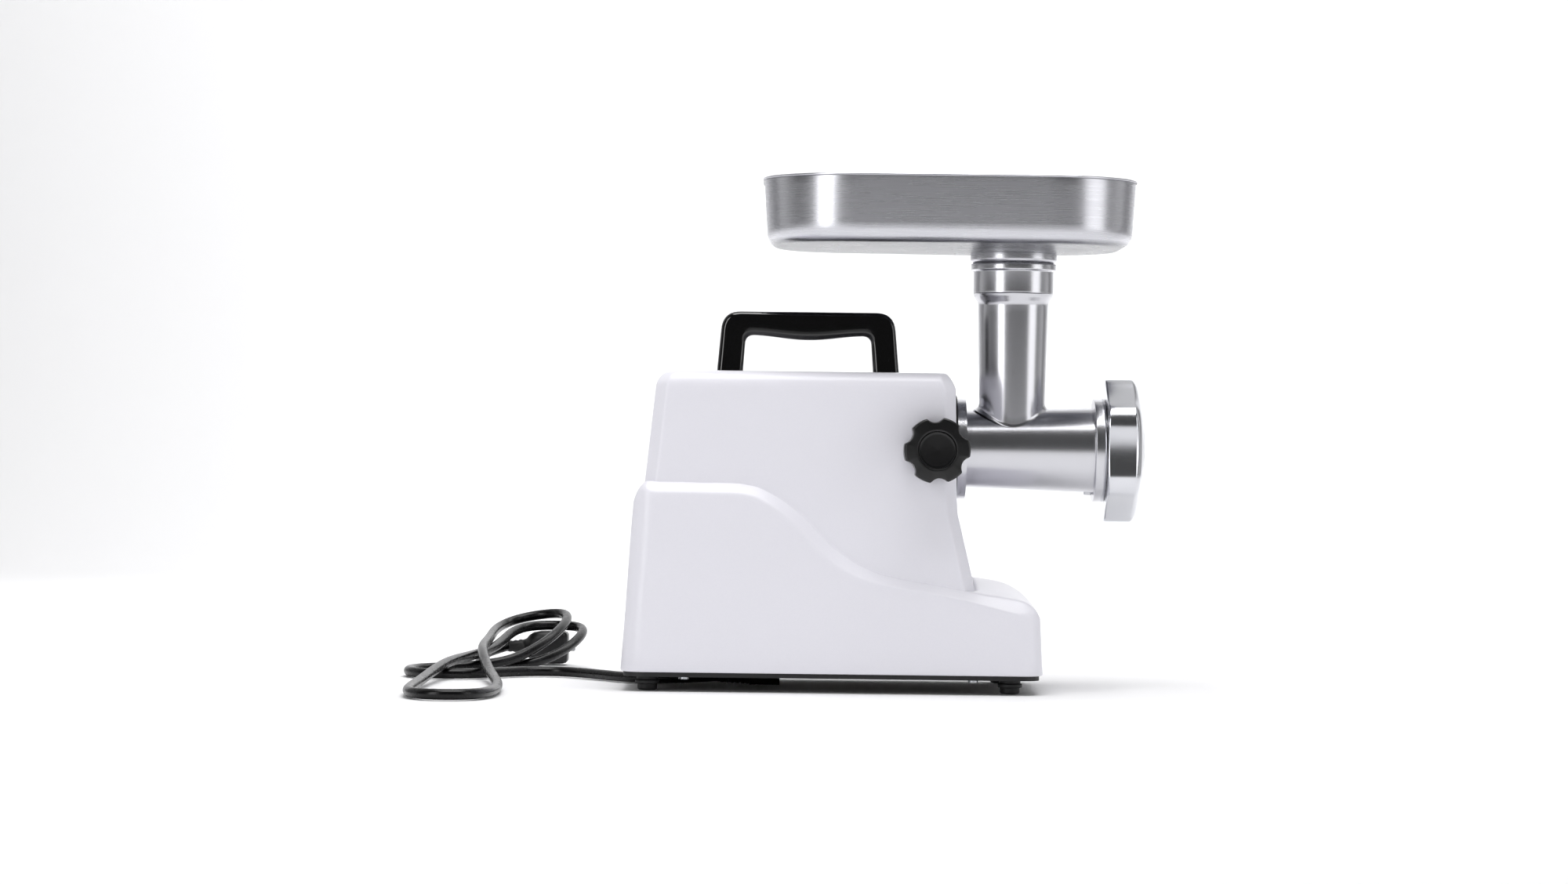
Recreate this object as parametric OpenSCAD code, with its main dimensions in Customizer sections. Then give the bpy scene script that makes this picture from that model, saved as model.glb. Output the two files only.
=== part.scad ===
// Electric meat grinder with its casings, gear train, motor, grinding head, tray and mains lead.
// Origin: on the table, midway between the four feet. +X is the end that grinds, +Z is up.

/* [Casings] */
// Length of the lower casing at its foot
body_l = 296; // [240:1:360]
// Width of the lower casing
body_w = 172; // [150:1:215]
// Height of the gap under the base plate
foot_gap = 10; // [8:0.5:16]
// Thickness of the base plate
plate_t = 3.3; // [2:0.1:6]
// Wall of both casings
shell_t = 2.6; // [2:0.1:4]
// Width of the sloping step between the casings
step_w = 7; // [4:0.5:10]
// Height of the top of the upper casing
upper_top = 227.6; // [215:0.5:260]
// Front face of the upper casing
upper_front = 88; // [84:0.5:96]
// Rounding of the upper casing's top edges
upper_r = 12; // [4:0.5:14]
// Rounding of the lower casing's upright edges
plan_r = 16; // [8:1:28]

/* [Handle] */
// Outer length of the carry handle at its foot
handle_l = 132.6; // [110:0.5:150]
// Height of the handle above the casing
handle_h = 44.4; // [36:0.2:60]
// Thickness of the handle's grip, from top to underside
grip_t = 17.5; // [12:0.5:22]
// Width of the handle, across the machine
handle_w = 26; // [18:0.5:34]
// Place of the handle's middle along the machine
handle_x = -17; // [-30:1:0]

/* [Head] */
// Height of the auger's axis above the table
axis_z = 174; // [168:0.5:190]
// Outside of the barrel at its root
barrel_d = 56; // [50:0.5:66]
// Bore of the barrel
bore_d = 46; // [40:0.5:50]
// Length of the barrel in front of the socket
barrel_l = 93; // [80:0.5:120]
// Outside of the mouth collar
mouth_d = 75; // [72:0.5:90]
// Outside of the ring nut across its ridges
nut_d = 106; // [96:0.5:127]
// Length of the ring nut
nut_l = 27; // [22:0.5:36]
// Diameter of the cutting plate
disc_d = 66; // [60:0.5:67]
// Thickness of the cutting plate
disc_t = 7; // [5:0.5:10]
// Diameter of one hole in the cutting plate
disc_hole = 5; // [4:0.5:6]
// Running clearance of the auger's spigots, on radius
run_gap = 0.05; // [0.02:0.01:0.1]
// Distance from the socket to the neck's axis
neck_x = 34; // [30:0.5:44]
// Outside of the neck
neck_d = 48; // [44:0.5:56]
// Height of the neck's lip above the auger's axis
neck_h = 135; // [120:0.5:150]

/* [Tray] */
// Length of the tray
tray_l = 270; // [240:1:330]
// Width of the tray
tray_w = 188; // [170:1:226]
// Depth of the tray
tray_h = 47; // [38:0.5:60]
// Wall of the tray
tray_t = 1.2; // [0.8:0.1:2]
// Distance from the tray's middle to its spigot
tray_off = 48; // [30:1:52]
// Length of the tray's spigot inside the neck
spigot_l = 26; // [18:0.5:40]

/* [Lock knob] */
// Diameter of the knob over its lobes
knob_d = 48; // [40:0.5:56]
// Length of the knob
knob_t = 26; // [18:0.5:34]
// Number of lobes
knob_lobes = 6; // [5:1:8]
// Diameter of the knob's stud
stud_d = 10; // [8:0.5:12]

/* [Gears] */
// Module of the motor stage
mod_1 = 1; // [0.9:0.05:1.1]
// Module of the middle stage
mod_2 = 1.25; // [1.1:0.05:1.35]
// Module of the output stage
mod_3 = 1.75; // [1.5:0.05:1.8]
// Backlash of each pair of gears at the pitch circle
backlash = 0.3; // [0.2:0.05:0.4]
// Width of the output gear
gear_3_w = 18; // [14:0.5:22]

/* [Motor] */
// Outside of the motor's stator
stator_d = 84; // [70:0.5:86]
// Length of the motor's stator
stator_l = 46; // [36:0.5:52]
// Diameter of the rotor
rotor_d = 46; // [38:0.5:46]
// Diameter of the motor's shaft
motor_shaft_d = 8; // [6:0.5:8]

/* [Mains lead] */
// Outside of the lead
cord_d = 7.5; // [6:0.25:8]

/* [Hidden] */
$fn = 64;
e = 0.01;

// Heights and places of the casings.
base_z = foot_gap + plate_t;
front_x = body_l / 2 + 2;
rear_x = -body_l / 2;
rear_top_z = 149.5;
upper_w = body_w - 2 * step_w;
socket_x = upper_front + 10;
nut_r = nut_d / 2;

// Side outlines of the lower casing: the crown down its middle, the shoulder line at the foot of the
// upper casing, and the outer edge of the sloping step.
s_curve = [[-65, 147.5], [-51, 145], [-38.5, 138.6], [-27.4, 131.3], [-16.3, 122.2], [-7, 111.3], [4, 101.2],
    [18.8, 91.2], [35.5, 84.1], [52, 80.5]];
crown = concat([[rear_x + 16, rear_top_z]], s_curve, [[upper_front, 81], [front_x - 45, 80.7],
    [front_x - 20, 75.9], [front_x - 7, 67.5], [front_x, 57]]);
shoulder = concat([[rear_x + 16, rear_top_z]], s_curve, [[77, 76.5], [front_x - 45, 71.4],
    [front_x - 12, 66.3], [front_x - 4, 61], [front_x, 54]]);
step_edge = [[rear_x + 16, 141], [-64, 140.2], [-53, 137.6], [-42, 132], [-31, 124], [-22, 115.8],
    [-14.5, 106.6], [-3.4, 95.7], [11.3, 85.7], [26, 79.4], [41, 75.9], [77, 69.9], [front_x - 25, 59],
    [front_x - 8, 55], [front_x, 50]];
layers = [crown, shoulder, step_edge];
layer_w = [upper_w * 0.6, upper_w + step_w, body_w];
// Side outline of the upper casing, which stands inside the shoulder line.
upper_side = [[rear_x + 15.5, 145], [-54, 142], [-42, 137], [-30, 129], [-19, 119.5], [-10, 108.5],
    [1, 98.5], [17, 88], [34, 81], [52, 77.5], [77, 73], [upper_front + 18, 68], [upper_front + 2, 124],
    [upper_front, upper_top - 12],
    [upper_front - 6, upper_top], [rear_x + 24 + upper_r, upper_top],
    [rear_x + 24, upper_top - upper_r]];

// Gear train: teeth, centre distances and places.
teeth = [[10, 46], [11, 46], [12, 48]];
mods = [mod_1, mod_2, mod_3];
dist = [for (i = [0:2]) mods[i] * (teeth[i][0] + teeth[i][1]) / 2];
// Directions from the output axis down the train, in degrees from +Y.
lean = [-98, -50, -128];
out_yz = [0, axis_z];
second_yz = out_yz + dist[2] * [cos(lean[0]), sin(lean[0])];
first_yz = second_yz + dist[1] * [cos(lean[1]), sin(lean[1])];
motor_yz = first_yz + dist[0] * [cos(lean[2]), sin(lean[2])];
// Widths of the gears and where each stage lies along the machine.
gear_1_w = 8;
gear_2_w = 11;
stage_gap = 2.5;
fit_gap = 0.3;
// The socket takes the barrel's spigot; the seal and the bearing lie behind it.
spigot_in = 36;
socket_back = socket_x - spigot_in - 1;
seal_t = 5;
bearing_t = 12;
case_front = socket_back - seal_t - 1;
case_wall = 5;
stage_3_x = case_front - bearing_t - 2 - gear_3_w;
stage_2_x = stage_3_x - stage_gap - gear_2_w;
stage_1_x = stage_2_x - stage_gap - gear_1_w;
case_back = stage_1_x - stage_gap - 2;
cover_t = 5;
shaft_2_d = 12;
shaft_1_d = 10;
out_shaft_d = 25;
bearing_d = 47;
hex_af = 14;
hex_in = 16;
socket_d = barrel_d + 17;
spigot_d = barrel_d - 4;
bush_t = 8;

// Motor along its own axis.
bracket_t = 6;
motor_front = case_back - cover_t - 8;
stator_x = motor_front - 24 - stator_l;
commutator_x = stator_x - 24;
motor_rear = commutator_x - 12;
air_gap = 0.6;
bearing_r = 11;

// Head, measured from the socket's front face.
barrel_end = socket_x + barrel_l;
collar_l = 8;
thread_l = 13;
thread_d = mouth_d - 3;
mouth_x = barrel_end + collar_l + thread_l;
seat_in = disc_t - 1;
disc_x = mouth_x - seat_in;
knife_t = 6;
auger_x0 = socket_x - spigot_in + 2;
auger_x1 = disc_x - knife_t - 0.6;
pin_d = 8;
square_w = 9;
neck_cx = socket_x + neck_x;
neck_top = axis_z + neck_h;
lip_d = neck_d + 14;
throat_d = neck_d - 7;
tray_z = neck_top + 9;
tray_cx = neck_cx - tray_off;
tray_r = tray_w / 2 - 26;
tray_spigot_d = throat_d - 1;
nut_x0 = barrel_end + collar_l + fit_gap;
nut_x1 = nut_x0 + nut_l;

// Lock knob on the near side.
knob_x = upper_front - 14;
knob_y = -upper_w / 2 - 1.2;
knob_z = axis_z - 1.5;

// Switches on the far side of the lower casing.
switch_x = -60;
switch_z = 112;
switch_l = 30;
switch_h = 22;
// The buttons stand this far to either side of the switch.
button_off = 34;
reverse_d = 14;
reset_d = 12;

// Feet and screws.
foot_x = body_l / 2 - 19;
foot_y = body_w / 2 - 21;
foot_d = 17.5;

// One cylinder or ring along X.
module xcyl(x0, x1, r) translate([x0, 0, 0]) rotate([0, 90, 0]) cylinder(h = x1 - x0, r = r);
module xring(x0, x1, ro, ri) difference() {
    xcyl(x0, x1, ro);
    xcyl(x0 - 1, x1 + 1, ri);
}
module at(yz) translate([0, yz[0], yz[1]]) children();
// A block with round upright edges.
module plan_block(x0, x1, w, r, z0, z1) translate([0, 0, z0]) linear_extrude(z1 - z0) union() {
    translate([x0 + r, -w / 2]) square([x1 - x0 - 2 * r, w]);
    translate([x0, -w / 2 + r]) square([x1 - x0, w - 2 * r]);
    for (x = [x0 + r, x1 - r], y = [-w / 2 + r, w / 2 - r]) translate([x, y]) circle(r);
}
// A screw along Z with a cross-recessed pan head, head up.
module screw(d, l) difference() {
    union() {
        translate([0, 0, -l]) cylinder(h = l, d = d, $fn = 24);
        cylinder(h = d * 0.6, d = d * 1.9, $fn = 24);
    }
    for (a = [0, 90]) rotate(a) translate([-d * 0.55, -d * 0.1, d * 0.3]) cube([d * 1.1, d * 0.2, d]);
}

// Involute spur gear along +X from x0, with n teeth of module m, turned by `turn` degrees.
pressure = 25;
function inv(a) = tan(a) * 180 / PI - a;
function tooth_side(n, m, r) = let (rb = n * m / 2 * cos(pressure), rr = max(r, rb))
    (90 / n - backlash / 2 / (n * m / 2) * 180 / PI) + inv(pressure) - inv(acos(rb / rr));
function tooth(n, m) = let (rp = n * m / 2, ra = rp + 0.8 * m, rf = rp - m, rb = rp * cos(pressure),
    r0 = max(rf, rb), rs = [rf, for (k = [0:4]) r0 + (ra - r0) * k / 4])
    concat([for (r = rs) [r, -tooth_side(n, m, r)]],
    [for (k = [5:-1:0]) [rs[k], tooth_side(n, m, rs[k])]]);
function gear_outline(n, m) = [for (i = [0:n - 1], p = tooth(n, m))
    p[0] * [cos(p[1] + i * 360 / n), sin(p[1] + i * 360 / n)]];
module gear(n, m, w, turn, bore) rotate([90, 0, 90]) rotate(turn) difference() {
    linear_extrude(w) polygon(gear_outline(n, m));
    if (bore > 0) translate([0, 0, -1]) cylinder(h = w + 2, d = bore);
}

// Casings.
module lower_outline(line, inset) offset(delta = -inset) polygon(concat([[rear_x, base_z - 2 * inset],
    [rear_x + 8, 138]], line, [[front_x + 2, base_z - 2 * inset]]));
module lower_layer(line, inset, w) translate([0, w / 2, 0]) rotate([90, 0, 0]) linear_extrude(w)
    lower_outline(line, inset);
module lower_solid(inset) intersection() {
    for (i = [0:2]) lower_layer(layers[i], inset, layer_w[i] - 2 * inset);
    plan_block(rear_x + inset, front_x + 2 - inset, body_w - 2 * inset, plan_r - inset, 0, upper_top);
}
// The footprint of the upper casing.
module upper_plan(inset, top) plan_block(rear_x + 15 + inset, upper_front + 18 - inset,
    upper_w - 2 * inset, 10 - inset, base_z, top - inset);
module upper_solid(inset) intersection() {
    translate([0, upper_w / 2, 0]) rotate([90, 0, 0]) linear_extrude(upper_w) offset(delta = -inset)
        polygon(upper_side);
    upper_plan(inset, upper_top);
}
// Air slots in the far wall: how many, the lowest one's height, their pitch, height and length.
vent_n = 7;
vent_z = 40;
vent_pitch = 8;
vent_h = 3.5;
vent_l = 110;
module vents() for (i = [0:vent_n - 1])
    translate([switch_x - vent_l / 2, body_w / 2 - 10, vent_z + i * vent_pitch]) cube([vent_l, 20, vent_h]);
module far_hole(x, d) translate([x, body_w / 2 - 12, switch_z]) rotate([-90, 0, 0]) cylinder(h = 24, d = d);
module lower_casing() color("whitesmoke") difference() {
    lower_solid(0);
    lower_solid(shell_t);
    upper_plan(step_w / 2, upper_top + 20);
    vents();
    translate([switch_x - switch_l / 2, body_w / 2 - 12, switch_z - switch_h / 2])
        cube([switch_l, 24, switch_h]);
    far_hole(switch_x + button_off, reverse_d + 1);
    far_hole(switch_x - button_off, reset_d + 1);
}
module upper_casing() color("whitesmoke") difference() {
    upper_solid(0);
    upper_solid(shell_t);
    lower_layer(shoulder, 0, body_w);
    lower_layer(crown, 0, layer_w[0]);
    intersection() {
        translate([0, 0, shell_t * 2]) lower_layer(crown, 0, body_w);
        upper_plan(shell_t, 160);
    }
    // Front hole for the socket, side hole for the stud, and the handle's screw holes.
    at(out_yz) xcyl(upper_front - 12, upper_front + 30, socket_d / 2 + 0.5);
    translate([knob_x, 0, knob_z]) rotate([90, 0, 0]) cylinder(h = body_w, d = stud_d + 3);
    for (s = [-1, 1]) translate([handle_x + s * handle_foot, 0, upper_top - 12]) cylinder(h = 20, d = 6.4);
}
module base_plate() color("dimgray") difference() {
    plan_block(rear_x + 2, front_x - 0.5, body_w - 4, plan_r - 2, foot_gap, base_z);
    for (x = [-foot_x, foot_x], y = [-foot_y, foot_y]) translate([x, y, 0]) cylinder(h = 30, d = 4.4);
    for (p = casing_screw_at) translate([p[0], p[1], 0]) cylinder(h = 30, d = 4.4);
    // Slot for the lead and its strain relief, and air holes under the motor.
    translate([gland_x - 24, -7, 0]) cube([50, 14, 30]);
    for (s = [-1, 1], i = [1:4]) translate([stator_x - 14, s * (i * vent_pitch + 6) - vent_h / 2, 0])
        cube([60, vent_h, 30]);
}
casing_screw_at = [for (x = [-foot_x + 26, foot_x - 26], y = [-foot_y, foot_y]) [x, y]];
module foot() difference() {
    union() {
        translate([0, 0, 4.5]) cylinder(h = foot_gap - 4.5, d = foot_d);
        cylinder(h = 5, d = foot_d - 3.5);
    }
    translate([0, 0, -1]) cylinder(h = 20, d = 4.4);
    translate([0, 0, -1]) cylinder(h = 4.5, d = 9.2);
}
module rubber_feet() color("black") for (x = [-foot_x, foot_x], y = [-foot_y, foot_y])
    translate([x, y, 0]) foot();
module foot_screws() color("silver") for (x = [-foot_x, foot_x], y = [-foot_y, foot_y])
    translate([x, y, 3.5]) mirror([0, 0, 1]) screw(4, foot_gap + 6);
module casing_screws() color("silver") for (p = casing_screw_at)
    translate([p[0], p[1], foot_gap]) mirror([0, 0, 1]) screw(4, 12);

// Carry handle: a fixed bail with two feet, hollow underneath where the hand goes.
handle_foot = handle_l / 2 - 10;
handle_leg = 19;
module handle_side() difference() {
    polygon([[-handle_l / 2, 0], [-handle_l / 2 + 4, handle_h - 10], [-handle_l / 2 + 14, handle_h],
        [handle_l / 2 - 14, handle_h], [handle_l / 2 - 4, handle_h - 10], [handle_l / 2, 0]]);
    polygon([[-handle_l / 2 + handle_leg, -1], [-handle_l / 2 + handle_leg + 2, handle_h - grip_t],
        [0, handle_h - grip_t - 2.5], [handle_l / 2 - handle_leg - 2, handle_h - grip_t],
        [handle_l / 2 - handle_leg, -1]]);
}
module carry_handle() color("black") difference() {
    translate([handle_x, handle_w / 2, upper_top]) rotate([90, 0, 0]) linear_extrude(handle_w) handle_side();
    for (s = [-1, 1]) translate([handle_x + s * handle_foot, 0, upper_top - 1]) cylinder(h = 16, d = 4.6);
}
module handle_screws() color("silver") for (s = [-1, 1])
    translate([handle_x + s * handle_foot, 0, upper_top - shell_t]) mirror([0, 0, 1]) screw(4.4, 14);

// Gearbox: a cast case with the socket on its front, closed by a cover behind.
gear_r = [for (i = [0:2]) mods[i] * (teeth[i][1] / 2 + 0.8)];
room = 2;
module case_outline(extra) {
    translate(out_yz) circle(r = gear_r[2] + room + extra);
    translate(second_yz) circle(r = gear_r[1] + room + extra);
    translate(first_yz) circle(r = gear_r[0] + room + extra);
    translate(motor_yz) circle(r = 12 + extra);
}
module case_prism(x0, x1, extra) translate([x0, 0, 0]) rotate([90, 0, 90]) linear_extrude(x1 - x0)
    case_outline(extra);
module gearbox_case() color("silver") difference() {
    union() {
        case_prism(case_back, case_front, case_wall);
        at(out_yz) xcyl(case_front - e, socket_x, socket_d / 2);
        // Boss for the lock stud.
        translate([knob_x, -socket_d / 2 + 4, knob_z]) rotate([90, 0, 0])
            cylinder(h = upper_w / 2 - shell_t - 0.5 - socket_d / 2 + 4, d = 22);
    }
    case_prism(case_back - 1, case_front - bearing_t - 1, 0);
    // Flat top, clear of the handle's screws.
    translate([-200, -60, upper_top - shell_t - 3.2]) cube([400, 120, 60]);
    at(out_yz) xcyl(case_front - bearing_t - 2, case_front + 1, bearing_d / 2);
    at(out_yz) xcyl(case_front - 1, socket_back + 1, 20);
    at(out_yz) xcyl(case_front + 1 - e, case_front + 1 + seal_t, 21);
    at(out_yz) xcyl(socket_back, socket_x + 1, spigot_d / 2 + 0.05);
    at(second_yz) xcyl(0, case_front - bearing_t + bush_t, shaft_2_d / 2 + 3);
    at(first_yz) xcyl(0, case_front - bearing_t + bush_t, shaft_1_d / 2 + 3);
    translate([knob_x, 0, knob_z]) rotate([90, 0, 0]) cylinder(h = upper_w, d = stud_d + 6);
    gearbox_screw_holes();
}
gearbox_screw_at = [for (a = [20, 90, 160]) out_yz + (gear_r[2] + room + 2.5) * [cos(a), sin(a)],
    first_yz + (gear_r[0] + room + 2.5) * [cos(-10), sin(-10)],
    second_yz + (gear_r[1] + room + 2.5) * [cos(190), sin(190)]];
module gearbox_screw_holes() for (p = gearbox_screw_at) at(p) xcyl(case_back - 20, case_back + 12, 1.5);
module gearbox_cover() color("silver") difference() {
    case_prism(case_back - cover_t, case_back, case_wall);
    translate([-200, -60, upper_top - shell_t - 3.2]) cube([400, 120, 60]);
    at(out_yz) xcyl(case_back - 30, case_back + 30, out_shaft_d / 2 + 3);
    at(second_yz) xcyl(case_back - 30, case_back + 30, shaft_2_d / 2 + 3);
    at(first_yz) xcyl(case_back - 30, case_back + 30, shaft_1_d / 2 + 3);
    at(motor_yz) xcyl(case_back - 30, case_back + 30, motor_shaft_d / 2 + 3);
    gearbox_screw_holes();
}
module gearbox_screws() color("silver") for (p = gearbox_screw_at)
    at(p) translate([case_back - cover_t, 0, 0]) rotate([0, -90, 0]) screw(3, 16);
module socket_gasket() color("black") at(out_yz) difference() {
    xcyl(upper_front + 2.2, upper_front + 4.6, socket_d / 2 + 2);
    xcyl(0, upper_front + 30, socket_d / 2);
}

// Bearings and bushes.
module output_bearings() color("gray") at(out_yz) {
    xring(case_front - bearing_t, case_front, bearing_d / 2, out_shaft_d / 2 + run_gap);
    xring(case_back - cover_t, case_back, out_shaft_d / 2 + 3, out_shaft_d / 2 + run_gap);
}
module output_seal() color("black") at(out_yz)
    xring(case_front + 1, case_front + 1 + seal_t, 21, out_shaft_d / 2 + run_gap);
module countershaft_bushes() color("goldenrod") {
    for (b = [[second_yz, shaft_2_d], [first_yz, shaft_1_d]]) at(b[0]) {
        xring(case_front - bearing_t, case_front - bearing_t + bush_t, b[1] / 2 + 3, b[1] / 2 + run_gap);
        xring(case_back - cover_t, case_back, b[1] / 2 + 3, b[1] / 2 + run_gap);
    }
    at(motor_yz) xring(case_back - cover_t, case_back, motor_shaft_d / 2 + 3, motor_shaft_d / 2 + run_gap);
}

// Gear train. Each pair meets along the line between its axes, a tooth in a gap.
function gap_turn(n, angle) = angle + 180 / n;
module output_shaft() color("silver") at(out_yz) difference() {
    xcyl(case_back - cover_t, case_front + 1 + seal_t, out_shaft_d / 2);
    translate([case_front + 1 + seal_t - hex_in, 0, 0]) rotate([0, 90, 0])
        cylinder(h = hex_in + 1, d = (hex_af + 0.5) / cos(30), $fn = 6);
}
module output_gear() color("silver") at(out_yz) translate([stage_3_x, 0, 0])
    gear(teeth[2][1], mod_3, gear_3_w, gap_turn(teeth[2][1], lean[0]), out_shaft_d);
module second_shaft() color("silver") at(second_yz) {
    translate([stage_3_x, 0, 0]) gear(teeth[2][0], mod_3, gear_3_w, lean[0] + 180, 0);
    xcyl(case_back - cover_t, stage_3_x + e, shaft_2_d / 2);
    xcyl(stage_3_x + gear_3_w - e, case_front - bearing_t + bush_t - 0.5, shaft_2_d / 2);
}
module second_gear() color("silver") at(second_yz) translate([stage_2_x, 0, 0])
    gear(teeth[1][1], mod_2, gear_2_w, gap_turn(teeth[1][1], lean[1]), shaft_2_d);
module first_shaft() color("silver") at(first_yz) {
    translate([stage_2_x, 0, 0]) gear(teeth[1][0], mod_2, gear_2_w, lean[1] + 180, 0);
    xcyl(case_back - cover_t, stage_2_x + e, shaft_1_d / 2);
    xcyl(stage_2_x + gear_2_w - e, case_front - bearing_t + bush_t - 0.5, shaft_1_d / 2);
}
module first_gear() color("silver") at(first_yz) translate([stage_1_x, 0, 0])
    gear(teeth[0][1], mod_1, gear_1_w, gap_turn(teeth[0][1], lean[2]), shaft_1_d);
module motor_shaft() color("silver") at(motor_yz) {
    translate([stage_1_x, 0, 0]) gear(teeth[0][0], mod_1, gear_1_w, lean[2] + 180, 0);
    xcyl(motor_rear - bracket_t, stage_1_x + e, motor_shaft_d / 2);
}

// Motor.
module rotor_core() color("gray") at(motor_yz) difference() {
    xcyl(stator_x, stator_x + stator_l, rotor_d / 2);
    xcyl(stator_x - 1, stator_x + stator_l + 1, motor_shaft_d / 2);
    for (i = [0:11]) rotate([i * 30, 0, 0]) translate([stator_x - 1, rotor_d / 2 - 7, -1.2])
        cube([stator_l + 2, 10, 2.4]);
}
module rotor_windings() color("chocolate") at(motor_yz) {
    xring(stator_x - 11, stator_x - 0.2, rotor_d / 2 - 3, motor_shaft_d / 2 + 0.2);
    xring(stator_x + stator_l + 0.2, stator_x + stator_l + 9, rotor_d / 2 - 3, motor_shaft_d / 2 + 0.2);
}
module commutator() color("peru") at(motor_yz) difference() {
    xring(commutator_x - 6, commutator_x + 12, 12, motor_shaft_d / 2);
    for (i = [0:23]) rotate([i * 15, 0, 0]) translate([commutator_x - 7, 10.6, -0.3]) cube([16, 3, 0.6]);
}
module motor_fan() color("black") at(motor_yz) {
    xring(motor_front - 12, motor_front - 3, 9, motor_shaft_d / 2);
    xring(motor_front - 5, motor_front - 3, rotor_d / 2 + 9, 9);
    for (i = [0:10]) rotate([i * 360 / 11, 0, 0]) translate([motor_front - 12, 8.5, -0.8])
        cube([7.5, rotor_d / 2, 1.6]);
}
module motor_bearings() color("gray") at(motor_yz) {
    xring(motor_front, motor_front + bracket_t, bearing_r, motor_shaft_d / 2 + run_gap);
    xring(motor_rear - bracket_t, motor_rear, bearing_r, motor_shaft_d / 2 + run_gap);
}
module stator_core() color("dimgray") at(motor_yz) difference() {
    intersection() {
        xcyl(stator_x, stator_x + stator_l, stator_d / 2);
        translate([stator_x - 1, -stator_d / 2 + 6, -stator_d])
            cube([stator_l + 2, stator_d - 12, stator_d * 2]);
    }
    xcyl(stator_x - 1, stator_x + stator_l + 1, rotor_d / 2 + air_gap);
    // Winding windows above and below, and the bolt holes.
    for (s = [0, 180]) rotate([s + 90, 0, 0]) translate([stator_x - 1, rotor_d / 2 - 6, -20])
        cube([stator_l + 2, 12, 40]);
    motor_bolt_holes();
}
module stator_coils() color("chocolate") at(motor_yz) for (s = [0, 180]) rotate([s + 90, 0, 0])
    translate([stator_x - 9, rotor_d / 2 + 1, -19]) cube([stator_l + 18, 4.5, 38]);
motor_bolt_r = stator_d / 2 - 5;
module motor_bolt_holes() for (a = [60, 120, 240, 300]) rotate([a - 90, 0, 0])
    translate([0, 0, motor_bolt_r]) xcyl(-300, 300, 2.2);
module bracket(x0) difference() {
    union() {
        translate([x0, -26, -43]) cube([bracket_t, 52, 86]);
        // Feet down to the base plate.
        for (s = [-1, 1]) translate([x0, s * 20 - 6, base_z - motor_yz[1]])
            cube([bracket_t, 12, motor_yz[1] - base_z - 40]);
    }
    xcyl(x0 - 1, x0 + bracket_t + 1, bearing_r);
    for (z = [-27, 27]) translate([0, 0, z]) xcyl(x0 - 1, x0 + bracket_t + 1, 9);
    motor_bolt_holes();
}
module motor_brackets() color("silver") at(motor_yz) {
    bracket(motor_front);
    bracket(motor_rear - bracket_t);
}
module motor_bolts() color("silver") at(motor_yz) for (a = [60, 120, 240, 300]) rotate([a - 90, 0, 0])
    translate([0, 0, motor_bolt_r]) xcyl(motor_rear - bracket_t - 3, motor_front + bracket_t + 2, 2.2);
brush_y = 12.2;
module brush_holders() color("goldenrod") at(motor_yz) for (s = [0, 180]) rotate([s, 0, 0])
    difference() {
    translate([commutator_x - 1, brush_y + 1.5, -5]) cube([10, 17, 10]);
    translate([commutator_x + 1, brush_y, -3]) cube([6, 17, 6]);
}
module carbon_brushes() color("black") at(motor_yz) for (s = [0, 180]) rotate([s, 0, 0])
    translate([commutator_x + 1, brush_y, -3]) cube([6, 14, 6]);

// Lock knob, its cap, its stud and the threaded insert in the socket's boss.
// Each notch between two lobes: its radius, its depth and where the first one stands.
notch_r = 7.5;
notch_in = 3.7;
notch_turn = 94;
// The cap lies in a round dish on the knob's face, inside a narrow chamfer.
cap_d = knob_d * 0.56;
dish = 1.6;
knob_edge = 1.5;
module knob_plan() difference() {
    circle(d = knob_d);
    for (i = [0:knob_lobes - 1]) rotate(i * 360 / knob_lobes + notch_turn)
        translate([knob_d / 2 - notch_in + notch_r, 0]) circle(r = notch_r, $fn = 80);
}
module outwards() translate([knob_x, knob_y, knob_z]) rotate([90, 0, 0]) children();
module lock_knob() color("black") outwards() difference() {
    union() {
        linear_extrude(knob_t - knob_edge) knob_plan();
        translate([0, 0, knob_t - knob_edge - e])
            cylinder(h = knob_edge, r1 = knob_d / 2 - notch_in - 0.5, r2 = knob_d / 2 - notch_in - 2);
    }
    translate([0, 0, knob_t - dish]) cylinder(h = 4, d = cap_d);
    translate([0, 0, -1]) cylinder(h = 15, d = stud_d - 2);
}
module knob_cap() color("black") outwards() translate([0, 0, knob_t - dish])
    cylinder(h = dish - 0.4, d = cap_d);
stud_tip = spigot_d / 2 + fit_gap + 0.1;
module lock_stud() color("silver") outwards() {
    cylinder(h = 14, d = stud_d - 2);
    translate([0, 0, knob_y + stud_tip]) cylinder(h = -knob_y - stud_tip - 0.2, d = stud_d - 0.2);
}
module lock_washer() color("silver") outwards() translate([0, 0, -0.9]) difference() {
    cylinder(h = 0.8, d = stud_d + 12);
    translate([0, 0, -1]) cylinder(h = 4, d = stud_d + 0.2);
}
module knob_bush() color("goldenrod") outwards() translate([0, 0, knob_y + socket_d / 2 + 1]) difference() {
    cylinder(h = -knob_y - socket_d / 2 - 8, d = stud_d + 6);
    translate([0, 0, -1]) cylinder(h = 80, d = stud_d);
}

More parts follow.
